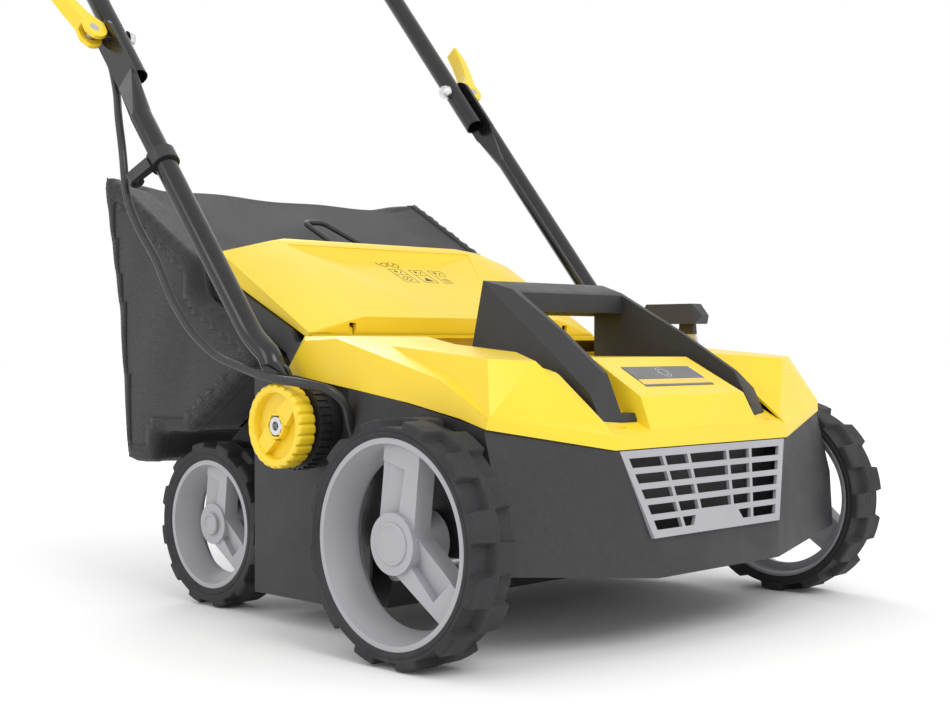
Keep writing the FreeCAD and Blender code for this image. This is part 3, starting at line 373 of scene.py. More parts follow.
def shaded(piece, angle):
    """Smooth shading, with the edges kept sharp that turn more than the angle."""
    piece.data.shade_smooth()
    piece.data.set_sharp_from_angle(angle=math.radians(angle))


def bevelled(piece, width, segments=2, angle=26):
    """Rounds the piece's edges, and shades it smooth between them."""
    bevel = piece.modifiers.new("Soft edges", "BEVEL")
    bevel.width = width
    bevel.segments = segments
    bevel.limit_method = "ANGLE"
    bevel.angle_limit = math.radians(angle)
    bevel.use_clamp_overlap = True
    bevel.miter_outer = "MITER_ARC"
    normals = piece.modifiers.new("Even shading", "WEIGHTED_NORMAL")
    normals.keep_sharp = True
    shaded(piece, 50)
    return worked_in(piece)


def softened(node, name, width, segments=2, angle=26):
    """A copy of a CAD node with its loose triangles joined, its flat faces whole and its edges rounded."""
    mesh = bpy.data.meshes.new(name)
    form = bmesh.new()
    form.from_mesh(frame["nodes"][node].data)
    bmesh.ops.remove_doubles(form, verts=form.verts, dist=CAD_WELD)
    bmesh.ops.dissolve_limit(form, angle_limit=math.radians(0.8), verts=form.verts, edges=form.edges)
    form.to_mesh(mesh)
    form.free()
    for layer in list(mesh.uv_layers):
        mesh.uv_layers.remove(layer)
    if mesh.has_custom_normals:
        mesh.attributes.remove(mesh.attributes["custom_normal"])
    mesh.materials.clear()
    mesh.materials.append(FINISHES[slot_for(node)].material)
    piece = new_object(name, mesh)
    bevelled(piece, width, segments, angle)
    return settle(piece, frame["nodes"][node]["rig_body"], slot_for(node), node)


# ---- geometry node trees ---------------------------------------------------------------------------
def new_tree(name, sockets):
    """An empty geometry tree with a mesh in, a mesh out, and the named inputs."""
    tree = bpy.data.node_groups.new(name, "GeometryNodeTree")
    tree.interface.new_socket("Geometry", in_out="INPUT", socket_type="NodeSocketGeometry")
    for label, kind, default in sockets:
        socket = tree.interface.new_socket(label, in_out="INPUT", socket_type=kind)
        if default is not None:
            socket.default_value = default
    tree.interface.new_socket("Geometry", in_out="OUTPUT", socket_type="NodeSocketGeometry")
    return tree, tree.nodes.new("NodeGroupInput"), tree.nodes.new("NodeGroupOutput")


def painted(tree, given, made, geometry):
    """Gives the geometry its finish on the way out of the tree."""
    paint = tree.nodes.new("GeometryNodeSetMaterial")
    tree.links.new(geometry, paint.inputs["Geometry"])
    tree.links.new(given.outputs["Finish"], paint.inputs["Material"])
    tree.links.new(paint.outputs["Geometry"], made.inputs["Geometry"])
    return tree


def round_tree():
    """Repeats the piece's own mesh evenly about a line across the machine, and joins the copies."""
    tree, given, made = new_tree("Repeat round an axle", (
        ("Copies", "NodeSocketInt", 12), ("Turn", "NodeSocketFloat", 0.0),
        ("Centre", "NodeSocketVector", None), ("Weld", "NodeSocketFloat", 0.00005),
        ("Finish", "NodeSocketMaterial", None)))
    add, join = tree.nodes.new, tree.links.new
    points = add("GeometryNodePoints")
    join(given.outputs["Copies"], points.inputs["Count"])
    index = add("GeometryNodeInputIndex")
    step = add("ShaderNodeMath")
    step.operation = "DIVIDE"
    step.inputs[0].default_value = 2 * math.pi
    join(given.outputs["Copies"], step.inputs[1])
    angle = add("ShaderNodeMath")
    angle.operation = "MULTIPLY_ADD"
    join(index.outputs["Index"], angle.inputs[0])
    join(step.outputs["Value"], angle.inputs[1])
    join(given.outputs["Turn"], angle.inputs[2])
    euler = add("ShaderNodeCombineXYZ")
    join(angle.outputs["Value"], euler.inputs["X"])
    spread = add("GeometryNodeInstanceOnPoints")
    join(points.outputs[0], spread.inputs["Points"])
    join(given.outputs["Geometry"], spread.inputs["Instance"])
    join(euler.outputs["Vector"], spread.inputs["Rotation"])
    real = add("GeometryNodeRealizeInstances")
    join(spread.outputs["Instances"], real.inputs["Geometry"])
    weld = add("GeometryNodeMergeByDistance")
    join(real.outputs["Geometry"], weld.inputs["Geometry"])
    join(given.outputs["Weld"], weld.inputs["Distance"])
    move = add("GeometryNodeTransform")
    join(weld.outputs["Geometry"], move.inputs["Geometry"])
    join(given.outputs["Centre"], move.inputs["Translation"])
    return painted(tree, given, made, move.outputs["Geometry"])


def stitch_tree():
    """Lays a run of sewn stitches along the piece's own edges."""
    tree, given, made = new_tree("Stitches along a seam", (
        ("Pitch", "NodeSocketFloat", 0.006), ("Length", "NodeSocketFloat", 0.0042),
        ("Thread", "NodeSocketFloat", 0.0006), ("Finish", "NodeSocketMaterial", None)))
    add, join = tree.nodes.new, tree.links.new
    curve = add("GeometryNodeMeshToCurve")
    join(given.outputs["Geometry"], curve.inputs["Mesh"])
    steps = add("GeometryNodeCurveToPoints")
    steps.mode = "LENGTH"
    join(curve.outputs["Curve"], steps.inputs["Curve"])
    join(given.outputs["Pitch"], steps.inputs["Length"])
    stitch = add("GeometryNodeMeshCylinder")
    stitch.inputs["Vertices"].default_value = 6
    join(given.outputs["Thread"], stitch.inputs["Radius"])
    join(given.outputs["Length"], stitch.inputs["Depth"])
    aim = add("FunctionNodeAlignEulerToVector")
    aim.axis = "Z"
    join(steps.outputs["Tangent"], aim.inputs["Vector"])
    spread = add("GeometryNodeInstanceOnPoints")
    join(steps.outputs["Points"], spread.inputs["Points"])
    join(stitch.outputs["Mesh"], spread.inputs["Instance"])
    join(aim.outputs["Rotation"], spread.inputs["Rotation"])
    real = add("GeometryNodeRealizeInstances")
    join(spread.outputs["Instances"], real.inputs["Geometry"])
    smooth = add("GeometryNodeSetShadeSmooth")
    join(real.outputs["Geometry"], smooth.inputs["Geometry"])
    return painted(tree, given, made, smooth.outputs["Geometry"])


TREES = {}


def grown(piece, tree, **values):
    """Runs a geometry tree on the piece with these inputs, and keeps the plain mesh that it makes."""
    if tree not in TREES:
        TREES[tree] = {"round": round_tree, "stitch": stitch_tree}[tree]()
    modifier = piece.modifiers.new("Grown", "NODES")
    modifier.node_group = TREES[tree]
    keys = {s.name: s.identifier for s in TREES[tree].interface.items_tree if s.in_out == "INPUT"}
    for label, value in values.items():
        modifier[keys[label]] = value
    return worked_in(piece)


# ---- wheels ----------------------------------------------------------------------------------------
WHEELS = {
    "front": {"radius": 100.0, "rim": 84.8, "depth": 6.5, "y": -171.5, "z": 100.0, "inner": 249.5,
              "outer": 297.0},
    "rear": {"radius": 81.2, "rim": 63.1, "depth": 5.0, "y": 171.5, "z": 81.2, "inner": 185.0,
             "outer": 226.0},
}
PITCHES = 12
TREAD_TURN = 2.5
REACH = 0.46


def carcass_line(wheel):
    """The tyre's section without its pockets: (distance in from the outer face, radius), right round."""
    width = wheel["outer"] - wheel["inner"]
    top, seat = wheel["radius"], wheel["rim"] + 0.2
    wall = top - seat
    half = [(1.4, seat), (0.4, seat + 0.08 * wall), (0.0, seat + 0.2 * wall), (0.0, seat + 0.3 * wall),
            (0.5, seat + 0.33 * wall), (0.5, seat + 0.36 * wall), (0.0, seat + 0.4 * wall),
            (0.0, top - 6.8), (0.0, top - 5.6), (0.0, top - 2.4), (0.5, top - 1.0), (1.6, top - 0.25),
            (3.0, top), (8.0, top), (14.0, top)]
    reach = REACH * width
    half += [(reach - 3.4, top), (reach - 2.2, top), (reach - 0.8, top), (reach, top)]
    seam = [(width / 2 - 0.6, top), (width / 2, top + 0.35), (width / 2 + 0.6, top)]
    return half + seam + [(width - x, r) for x, r in reversed(half)]


def pocket_share(along, reach_share):
    """How deep the tread pocket is: 1 at its floor, 0 on the lug. along runs -1 to 1 over one pitch."""
    edge = REACH + 0.06 * reach_share
    return max(0.0, min(1.0, (edge + 0.045 - abs(along)) / 0.09))


def tread_sector(wheel):
    """One pitch of tyre: a pocket in the outer shoulder, with half a pocket each side in the inner one."""
    line = carcass_line(wheel)
    width = wheel["outer"] - wheel["inner"]
    reach = REACH * width
    stops = [0.0, 0.2, 0.4, 0.42, 0.445, 0.465, 0.49, 0.515, 0.535, 0.56, 0.58, 0.6, 0.8, 1.0]
    steps = [-s for s in reversed(stops[1:])] + stops
    points, faces = [], []
    for along in steps:
        turn = along * math.pi / PITCHES
        for x, r in line:
            other = width - x
            depth = 0.0
            for distance, shift in ((x, along), (other, abs(along) - 1.0)):
                if distance <= reach:
                    inward = max(0.0, min(1.0, (reach - 0.6 - distance) / 2.2))
                    down = max(0.0, min(1.0, (r - (wheel["radius"] - wheel["depth"] - 0.2)) / 1.2))
                    depth = max(depth, pocket_share(shift, 1 - distance / reach) * inward * down)
            floor = wheel["radius"] - wheel["depth"]
            radius = r - depth * max(0.0, r - floor)
            inset = x + (depth * 1.6 if x < 3.2 else 0.0) - (depth * 1.6 if other < 3.2 else 0.0)
            points.append((inset, radius * math.sin(turn), -radius * math.cos(turn)))
    count = len(line)
    for column in range(len(steps) - 1):
        for row in range(count - 1):
            a = column * count + row
            faces.append((a, a + 1, a + count + 1, a + count))
    last = len(steps) - 1
    faces += [(column * count, (column + 1) * count, (column + 1) * count + count - 1,
               column * count + count - 1) for column in range(last)]
    return points, faces


def make_tyre(place, side):
    """A moulded tyre with staggered shoulder pockets, a bead line and a fine mould seam."""
    wheel, s = WHEELS[place], SIDES[side]
    points, faces = tread_sector(wheel)
    placed = [Vector((s * (wheel["outer"] - x), y, z)) * MM for x, y, z in points]
    name = f"tread_{place}_{side}"
    tyre = from_faces(name, placed, faces, "tyre_black")
    grown(tyre, "round", Copies=PITCHES, Turn=math.radians(TREAD_TURN),
          Centre=(0.0, wheel["y"] * MM, wheel["z"] * MM), Finish=FINISHES["tyre_black"].material)
    outward(tyre)
    shaded(tyre, 42)
    settle(tyre, f"{place}_wheel_{side}", "tyre_black", f"{place}_tyre_{side}")


def make_wheels(place):
    for side in SIDES:
        make_tyre(place, side)
        softened(f"{place}_rim_{side}", f"rim_{place}_{side}", 0.9 * MM, 3, 24)
        softened(f"{place}_hub_cap_{side}", f"hub_cap_{place}_{side}", 0.4 * MM, 2, 24)


# ---- plates from outlines --------------------------------------------------------------------------
def plate_form(outline, place, low, high):
    """A solid plate from a closed outline of (across, up) points, between two heights that place() lifts."""
    count = len(outline)
    points = [place(x, up, lift) for lift in (low, high) for x, up in outline]
    faces = [tuple(range(count)), tuple(range(2 * count - 1, count - 1, -1))]
    faces += [(i, (i + 1) % count, count + (i + 1) % count, count + i) for i in range(count)]
    return points, faces


def band_form(outline, inner, place, low, high):
    """A solid band between two outlines with equally many points."""
    count = len(outline)
    points = [place(x, up, lift) for lift in (low, high) for x, up in list(outline) + list(inner)]
    faces = []
    for i in range(count):
        j = (i + 1) % count
        a, b, c, d = i, j, count + j, count + i
        e, f, g, h = (n + 2 * count for n in (a, b, c, d))
        faces += [(a, b, c, d), (h, g, f, e), (a, e, f, b), (c, g, h, d)]
    return points, faces


def merged(name, shapes, finish):
    points, faces = [], []
    for some, more in shapes:
        faces += [tuple(i + len(points) for i in face) for face in more]
        points += some
    piece = from_faces(name, [Vector(p) * MM for p in points], faces, finish, smooth=False)
    return outward(piece)


# ---- hard shells -----------------------------------------------------------------------------------
SHELLS = (
    ("top_cover", "cover_shell", 2.4, 3), ("rear_flap", "flap_shell", 2.0, 3),
    ("carry_handle", "carry_arch", 2.2, 3), ("deck_housing", "deck_shell", 1.4, 2),
    ("height_knob", "lever_knob", 2.0, 3),
    ("clamp_lever_left", "quick_lever_left", 0.7, 2), ("clamp_lever_right", "quick_lever_right", 0.7, 2),
    ("bag_frame", "bag_rails", 0.5, 2), ("cable_clip", "cable_band", 0.5, 2),
    ("axle_clamps", "axle_saddles", 0.6, 2), ("badge_plate", "badge_base", 0.25, 1),
)
KNOB = {"y": -5.0, "z": 187.0, "radius": 37.5, "from": 262.2, "to": 281.0, "flutes": 24, "flute": 1.7,
        "web": 271.8, "collar_top": 279.0, "arm_top": 278.4, "lean": -45}
NUT = {"flats": 16.2, "bore": 4.1, "from": 273.6, "to": 278.6}


def knob_wedge():
    """One flute of the hand knob: a rounded ridge on the outer wall, from the back to the front rim."""
    back, front = KNOB["from"], KNOB["to"]
    outline = [(back, 5.2), (back, 35.4), (back + 1.0, 36.9), (back + 2.4, KNOB["radius"]),
               (front - 2.6, KNOB["radius"]), (front - 0.9, 36.8), (front, 35.2), (front, 31.0),
               (front - 0.7, 29.8), (front - 1.8, 29.2), (272.6, 28.8), (272.0, 27.8), (272.0, 5.2)]
    shares = (0.0, 0.1, 0.2, 0.3, 0.4, 0.5, 0.58, 0.66, 0.74, 0.82, 0.91, 1.0)
    points, faces = [], []
    for share in shares:
        angle = 2 * math.pi * share / KNOB["flutes"]
        hollow = math.sin(math.pi * (share - 0.5) / 0.5) ** 2 if share > 0.5 else 0.0
        for x, r in outline:
            radius = r - (KNOB["flute"] * hollow if r > 33 and x < front - 0.5 else 0.0)
            points.append((x, radius * math.sin(angle), -radius * math.cos(angle)))
    count = len(outline)
    for column in range(len(shares) - 1):
        for row in range(count):
            a, b = column * count + row, column * count + (row + 1) % count
            faces.append((a, b, b + count, a + count))
    return points, faces


def nut_mesh(flats, bore, x0, x1, s, y, z):
    """A hexagon nut across the machine, with turned chamfers and a plain bore."""
    points, faces = [], []
    steps = 24
    corner = flats / math.sqrt(3)
    sign = 1 if x1 > x0 else -1
    stations = ((x0, 0.5), (x0 + sign * 0.7, 1.0), (x1 - sign * 0.9, 1.0), (x1, 0.0))
    for x, full in stations:
        for k in range(steps):
            a = 2 * math.pi * k / steps
            near = math.radians(30) - abs((math.degrees(a) % 60) - 30) * math.pi / 180
            hexed = flats / 2 / math.cos(math.radians(30) - near)
            radius = flats / 2 + (min(hexed, corner) - flats / 2) * full
            points.append((s * x, y + radius * math.cos(a), z + radius * math.sin(a)))
    for x in (x1, x1 - sign * 0.4, x0 + sign * 0.4, x0):
        for k in range(steps):
            a = 2 * math.pi * k / steps
            points.append((s * x, y + bore * math.cos(a), z + bore * math.sin(a)))
    rings = len(stations) + 4
    for ring in range(rings):
        for k in range(steps):
            a, b = ring * steps + k, ring * steps + (k + 1) % steps
            c, d = ((ring + 1) % rings) * steps + (k + 1) % steps, ((ring + 1) % rings) * steps + k
            faces.append((a, b, c, d))
    return points, faces


def make_knob_web(side):
    """The diagonal web across the knob's recess, and the collar round its six-sided socket."""
    s = SIDES[side]

    def place(across, up, lift):
        return Vector((s * lift, KNOB["y"] + across, KNOB["z"] + up))

    sides = 24
    steps = [2 * math.pi * k / sides for k in range(sides)]
    socket = [9.2 / math.cos(math.radians((math.degrees(a) % 60) - 30)) for a in steps]
    collar = band_form([(11.6 * math.cos(a), 11.6 * math.sin(a)) for a in steps],
                       [(r * math.cos(a), r * math.sin(a)) for a, r in zip(steps, socket)],
                       place, KNOB["web"], KNOB["collar_top"])
    lean = math.radians(KNOB["lean"])
    arms = []
    for way in (0, math.pi):
        corners = [(9.5, -9.5), (29.4, -7.5), (29.4, 7.5), (9.5, 9.5)]
        turned = [(a * math.cos(lean + way) - b * math.sin(lean + way),
                   a * math.sin(lean + way) + b * math.cos(lean + way)) for a, b in corners]
        arms.append(plate_form(turned, place, KNOB["web"], KNOB["arm_top"]))
    web = merged(f"knob_web_{side}", [collar] + arms, "cover_yellow")
    bevelled(web, 0.7 * MM, 2)
    settle(web, f"knob_{side}", "cover_yellow")


def make_knob(side):
    """A fluted hand knob: a rim from one repeated flute, a web with its socket, and the nut in it."""
    s = SIDES[side]
    points, faces = knob_wedge()
    rim = from_faces(f"knob_rim_{side}", [Vector((s * x, y, z)) * MM for x, y, z in points], faces,
                     "cover_yellow")
    grown(rim, "round", Copies=KNOB["flutes"], Centre=(0.0, KNOB["y"] * MM, KNOB["z"] * MM),
          Finish=FINISHES["cover_yellow"].material)
    outward(rim)
    shaded(rim, 40)
    settle(rim, f"knob_{side}", "cover_yellow", f"handle_knob_{side}")
    make_knob_web(side)
    points, faces = nut_mesh(NUT["flats"], NUT["bore"], NUT["from"], NUT["to"], s, KNOB["y"], KNOB["z"])
    nut = from_faces(f"knob_nut_{side}", [Vector(p) * MM for p in points], faces, "zinc")
    outward(nut)
    shaded(nut, 30)
    settle(nut, f"knob_{side}", "zinc")


def make_shells():
    for node, name, width, segments in SHELLS:
        softened(node, name, width * MM, segments)


# ---- grass bag -------------------------------------------------------------------------------------
BAG_SIDE = [(74, 253), (188, 306), (195, 344), (361, 443), (330, 300), (318, 190), (314, 137), (262, 138),
            (256, 172), (200, 172)]
BAG_X = 230.0
CLOTH_CELL = 0.0075
HANG_FRAMES = 20
HANG_MOST = 9.0
HELD_EDGE = 0.93
TAPE_DOWN = 15
TAPE_ACROSS = 16


def bag_half_width(y, z):
    """Half the bag's width: it narrows towards its top, in front of its raised hood."""
    if y >= 187 or z <= 320:
        return BAG_X
    return BAG_X - 34 * (z - 320) / 130


def edge_distance(y, z):
    """How far a point is from the bag's side outline, in millimetres."""
    nearest = 1e9
    for (y0, z0), (y1, z1) in zip(BAG_SIDE, BAG_SIDE[1:] + BAG_SIDE[:1]):
        dy, dz = y1 - y0, z1 - z0
        t = max(0.0, min(1.0, ((y - y0) * dy + (z - z0) * dz) / (dy * dy + dz * dz)))
        nearest = min(nearest, math.hypot(y - y0 - t * dy, z - z0 - t * dz))
    return nearest


def bag_block():
    count = len(BAG_SIDE)
    points = [(s * (bag_half_width(y, z) - 1.0), y, z) for s in (-1, 1) for y, z in BAG_SIDE]
    faces = [tuple(range(count)), tuple(range(2 * count - 1, count - 1, -1))]
    faces += [(i, count + i, count + (i + 1) % count, (i + 1) % count) for i in range(count)]
    return points, faces


def fine_cloth(piece, voxel):
    """Even, closed cells all over the block."""
    remesh = piece.modifiers.new("Even cells", "REMESH")
    remesh.mode = "VOXEL"
    remesh.voxel_size = voxel
    return worked_in(piece)


def hang(piece, held):
    """Lets the cloth fill and sag a little between the places where it is held, up to HANG_MOST."""
    start = [v.co.copy() for v in piece.data.vertices]
    group = piece.vertex_groups.new(name="held")
    for index, weight in held.items():
        group.add([index], weight, "REPLACE")
    cloth = piece.modifiers.new("Cloth", "CLOTH")
    cloth.settings.quality = 5
    cloth.settings.mass = 0.25
    cloth.settings.tension_stiffness = 12
    cloth.settings.compression_stiffness = 6
    cloth.settings.bending_stiffness = 0.4
    cloth.settings.use_pressure = True
    cloth.settings.uniform_pressure_force = 1.6
    cloth.settings.vertex_group_mass = "held"
    cloth.settings.effector_weights.gravity = 0.35
    cloth.collision_settings.use_self_collision = False
    cloth.collision_settings.use_collision = False
    cloth.point_cache.frame_start, cloth.point_cache.frame_end = 1, HANG_FRAMES
    scene = bpy.context.scene
    for number in range(1, HANG_FRAMES + 1):
        scene.frame_set(number)
    worked_in(piece)
    scene.frame_set(1)
    for vertex, first in zip(piece.data.vertices, start):
        step = vertex.co - first
        if step.length > HANG_MOST * MM:
            vertex.co = first + step.normalized() * (HANG_MOST * MM)
    return start


def wrinkle(piece, start):
    """Shallow folds: slanted on the sides, across on the back and the lid, none where the frame holds it."""
    for vertex, first in zip(piece.data.vertices, start):
        x, y, z = first / MM
        side = abs(x) > BAG_X - 8
        free = max(0.0, min(1.0, (edge_distance(y, z) - 6) / 40)) if side else \
            max(0.0, min(1.0, (BAG_X - 6 - abs(x)) / 60))
        if y < 196 or (z < 182 and y < 270):
            free *= 0.25
        wave = math.sin((y * 0.9 + z * 0.55) / 17.0 + 1.7 * math.sin(z / 61.0)) if side else \
            math.sin(x / 23.0 + 1.4 * math.sin((y + z) / 47.0))
        drift = math.sin(x / 71.0 + 0.6) * math.sin((y - z) / 53.0)
        vertex.co += vertex.normal * (free * (1.1 * wave + 1.3 * drift) * MM)


def box_cloth_uv(piece):
    """Cloth directions in metres, laid flat on each face along its main way."""
    layer = piece.data.uv_layers.new(name="cloth")
    for face in piece.data.polygons:
        ways = [abs(c) for c in face.normal]
        skip = ways.index(max(ways))
        axes = [i for i in range(3) if i != skip]
        for loop in face.loop_indices:
            co = piece.data.vertices[piece.data.loops[loop].vertex_index].co
            layer.data[loop].uv = (co[axes[0]], co[axes[1]])


def part_of(source, name, keep, finish, proud, thick):
    """A strip of cloth over the source, from the faces that keep() accepts."""
    form = bmesh.new()
    form.from_mesh(source.data)
    gone = [f for f in form.faces if not keep(f.calc_center_median() / MM, f.normal)]
    bmesh.ops.delete(form, geom=gone, context="FACES")
    for vertex in form.verts:
        vertex.co += vertex.normal * proud * MM
    mesh = bpy.data.meshes.new(name)
    form.to_mesh(mesh)
    form.free()
    mesh.materials.clear()
    mesh.materials.append(FINISHES[finish].material)
    piece = new_object(name, mesh)
    wall = piece.modifiers.new("Cloth thickness", "SOLIDIFY")
    wall.thickness = thick * MM
    wall.offset = 1.0
    worked_in(piece)
    piece.data.shade_smooth()
    return piece


def make_bag():
    """The bag: cloth that fills and sags, open over the chute, with taped and sewn edges."""
    points, faces = bag_block()
    bag = from_faces("bag_cloth_body", [Vector(p) * MM for p in points], faces, "bag_cloth")
    outward(bag)
    fine_cloth(bag, CLOTH_CELL)
    held = {}
    for vertex in bag.data.vertices:
        x, y, z = vertex.co / MM
        near = min(edge_distance(y, z), 60) if abs(x) > BAG_X - 14 else 60
        if y < 200 or (z < 186 and y < 272):
            held[vertex.index] = 1.0
        elif near < 9:
            held[vertex.index] = HELD_EDGE
    rest = [v.co.copy() for v in bag.data.vertices]
    rest = hang(bag, held)
    wrinkle(bag, rest)
    smooth = bag.modifiers.new("Even", "SMOOTH")
    smooth.iterations = 2
    smooth.factor = 0.4
    worked_in(bag)
    form = bmesh.new()
    form.from_mesh(bag.data)
    mouth = [f for f in form.faces if is_mouth(f.calc_center_median() / MM, f.normal)]
    bmesh.ops.delete(form, geom=mouth, context="FACES")
    form.to_mesh(bag.data)
    form.free()
    box_cloth_uv(bag)
    bag.data.shade_smooth()
    tape = part_of(bag, "bag_edge_tape", is_taped, "bag_tape", 0.2, 0.9)
    seams = make_seams(bag)
    wall = bag.modifiers.new("Cloth thickness", "SOLIDIFY")
    wall.thickness = 1.1 * MM
    wall.offset = -1.0
    worked_in(bag)
    settle(bag, "bag", "bag_cloth", "grass_bag")
    settle(tape, "bag", "bag_cloth")
    settle(seams, "bag", "bag_cloth")


def is_mouth(centre, normal):
    return abs(centre.x) < 170 and 78 < centre.y < 196 and normal.y < -0.2 and normal.z < -0.5


def is_taped(centre, normal):
    x, y, z = centre
    if abs(normal.x) > 0.7:
        return edge_distance(y, z) < TAPE_DOWN
    return abs(x) > bag_half_width(y, z) - TAPE_ACROSS


def make_seams(bag):
    """Two rows of stitches along each taped edge of the side panels."""
    surface = BVHTree.FromObject(bag, bpy.context.evaluated_depsgraph_get())
    corners = len(BAG_SIDE)
    middle = Vector((0, sum(y for y, z in BAG_SIDE) / corners, sum(z for y, z in BAG_SIDE) / corners))
    points, edges = [], []
    for s in (-1, 1):
        for inset in (4.0, 12.5):
            for (y0, z0), (y1, z1) in zip(BAG_SIDE, BAG_SIDE[1:] + BAG_SIDE[:1]):
                length = math.hypot(y1 - y0, z1 - z0)
                if length < 40 or (y0 < 200 and z0 < 300):
                    continue
                inward = Vector((0, z0 - z1, y1 - y0)).normalized() * inset
                if inward.dot(middle - Vector((0, y0, z0))) < 0:
                    inward = -inward
                count = max(3, int(length / 8))
                for k in range(count + 1):
                    share = (inset + (length - 2 * inset) * k / count) / length
                    spot = Vector((s * BAG_X, y0 + (y1 - y0) * share, z0 + (z1 - z0) * share)) + inward
                    near, normal, _, _ = surface.find_nearest(spot * MM)
                    points.append(near + normal * 1.15 * MM)
                    if k:
                        edges.append((len(points) - 2, len(points) - 1))
    mesh = bpy.data.meshes.new("bag_stitches")
    mesh.from_pydata([tuple(p) for p in points], edges, [])
    mesh.materials.append(FINISHES["thread"].material)
    seams = new_object("bag_stitches", mesh)
    return grown(seams, "stitch", Pitch=0.005, Length=0.0036, Thread=0.00045,
                 Finish=FINISHES["thread"].material)


# ---- printed marks, badge and small fittings -------------------------------------------------------
FLAP_FIELD = {"foot": Vector((0, 120.0, 328.2)), "head": Vector((0, 158.0, 347.3))}


def on_plane(foot, head, x, up, lift):
    """A point on a sloping face: across, up the slope, and out from it, in millimetres."""
    way = (head - foot).normalized()
    out = Vector((1, 0, 0)).cross(way)
    return foot + Vector((x, 0, 0)) + way * up + out * lift


def flat_mark(outline, place, thick=0.12):
    """A thin printed shape from a closed outline of (x, up) points on a face that place() gives."""
    return plate_form(outline, place, -0.05, thick)


def band_mark(outline, inner, place, thick=0.12):
    """A thin printed line between two outlines with equally many points."""
    return band_form(outline, inner, place, -0.05, thick)


def circle(x, up, radius, sides=28):
    return [(x + radius * math.cos(2 * math.pi * k / sides), up + radius * math.sin(2 * math.pi * k / sides))
            for k in range(sides)]


def frame_outline(x, up, width, height):
    return [(x - width / 2, up - height / 2), (x + width / 2, up - height / 2),
            (x + width / 2, up + height / 2), (x - width / 2, up + height / 2)]


def bar(x0, up0, x1, up1, width):
    """A straight printed stroke."""
    way = Vector((x1 - x0, up1 - up0)).normalized() * width / 2
    return [(x0 + way.y, up0 - way.x), (x1 + way.y, up1 - way.x), (x1 - way.y, up1 + way.x),
            (x0 - way.y, up0 + way.x)]


def make_marks():
    """Plain safety pictograms on the flap: four framed signs and two round ones, with no lettering."""
    def place(x, up, lift):
        return on_plane(FLAP_FIELD["foot"], FLAP_FIELD["head"], x, up, lift)

    shapes = []
    for k, x in enumerate((-3.0, 26.0, 55.0, 84.0)):
        up = 9.0
        shapes.append(band_mark(frame_outline(x, up, 20, 33), frame_outline(x, up, 18.4, 31.4), place))
        shapes.append(flat_mark(bar(x - 9, up + 3, x + 9, up + 3, 0.7), place))
        if k == 0:
            shapes.append(band_mark(circle(x, up - 7, 5.6), circle(x, up - 7, 4.6), place))
            shapes.append(flat_mark(bar(x - 3.6, up - 10.6, x + 3.6, up - 3.4, 1.0), place))
        elif k == 1:
            shapes.append(flat_mark([(x - 6, up - 12), (x + 6, up - 12), (x, up - 2)], place))
        elif k == 2:
            shapes += [flat_mark(bar(x - 6, up - 12 + 3.4 * n, x + 5 - n, up - 12 + 3.4 * n, 1.0), place)
                       for n in range(3)]
        else:
            shapes.append(flat_mark(bar(x - 6, up - 12, x + 6, up - 3, 1.1), place))
            shapes.append(flat_mark(bar(x - 6, up - 3, x + 6, up - 12, 1.1), place))
        shapes.append(flat_mark(circle(x - 3, up + 10.5, 2.3, 16), place))
        shapes.append(flat_mark(bar(x + 0.5, up + 6, x + 6, up + 12, 1.1), place))
    for x, up in ((-11.0, 39.0), (4.0, 36.5)):
        shapes.append(band_mark(circle(x, up, 7.2), circle(x, up, 6.1), place))
        shapes.append(flat_mark(bar(x - 3, up - 2, x + 3, up + 2.4, 1.3), place))
    settle(merged("flap_pictograms", shapes, "print_black"), "flap", "plate")


def make_badge():
    """The name plate: a dark glossy field, a yellow strip below it and a thin dark line; no name."""
    top, foot = Vector((0, -207.3, 238.2)), Vector((0, -237.7, 221.7))

    def place(x, up, lift):
        return on_plane(foot, top, x, up, 0.4 + lift)

    height = (top - foot).length
    field = flat_mark([(-48.6, height - 0.6), (-49.6, height * 0.36), (49.6, height * 0.36),
                       (48.6, height - 0.6)], place, 0.25)
    strip = flat_mark([(-49.6, height * 0.34), (-50.2, height * 0.09), (50.2, height * 0.09),
                       (49.6, height * 0.34)], place, 0.25)
    rings = [band_mark(circle(0, height * 0.68, r), circle(0, height * 0.68, r - 0.5), place, 0.4)
             for r in (8.2, 5.6)]
    settle(merged("badge_field", [field], "plate"), "chassis", "plate")
    settle(merged("badge_strip", [strip], "plate_yellow"), "chassis", "plate")
    settle(merged("badge_rings", rings, "zinc"), "chassis", "plate")


def make_carried_over():
    """Every CAD node that stays gets its procedural finish."""
    for name, node in frame["nodes"].items():
        if node.hide_render:
            continue
        material = FINISHES[slot_for(name)].material
        if not node.material_slots:
            node.data.materials.append(material)
        for slot in node.material_slots:
            slot.material = material


# ---- stage -----------------------------------------------------------------------------------------
FLOOR_HALF = 14
LIGHT_AIM = Vector((0, 0, 0.3))
CAMERA = {"place": (-1.0916, -1.05475, 0.25918), "azimuth": -45.35, "elevation": 0.48, "sensor": 36.0}


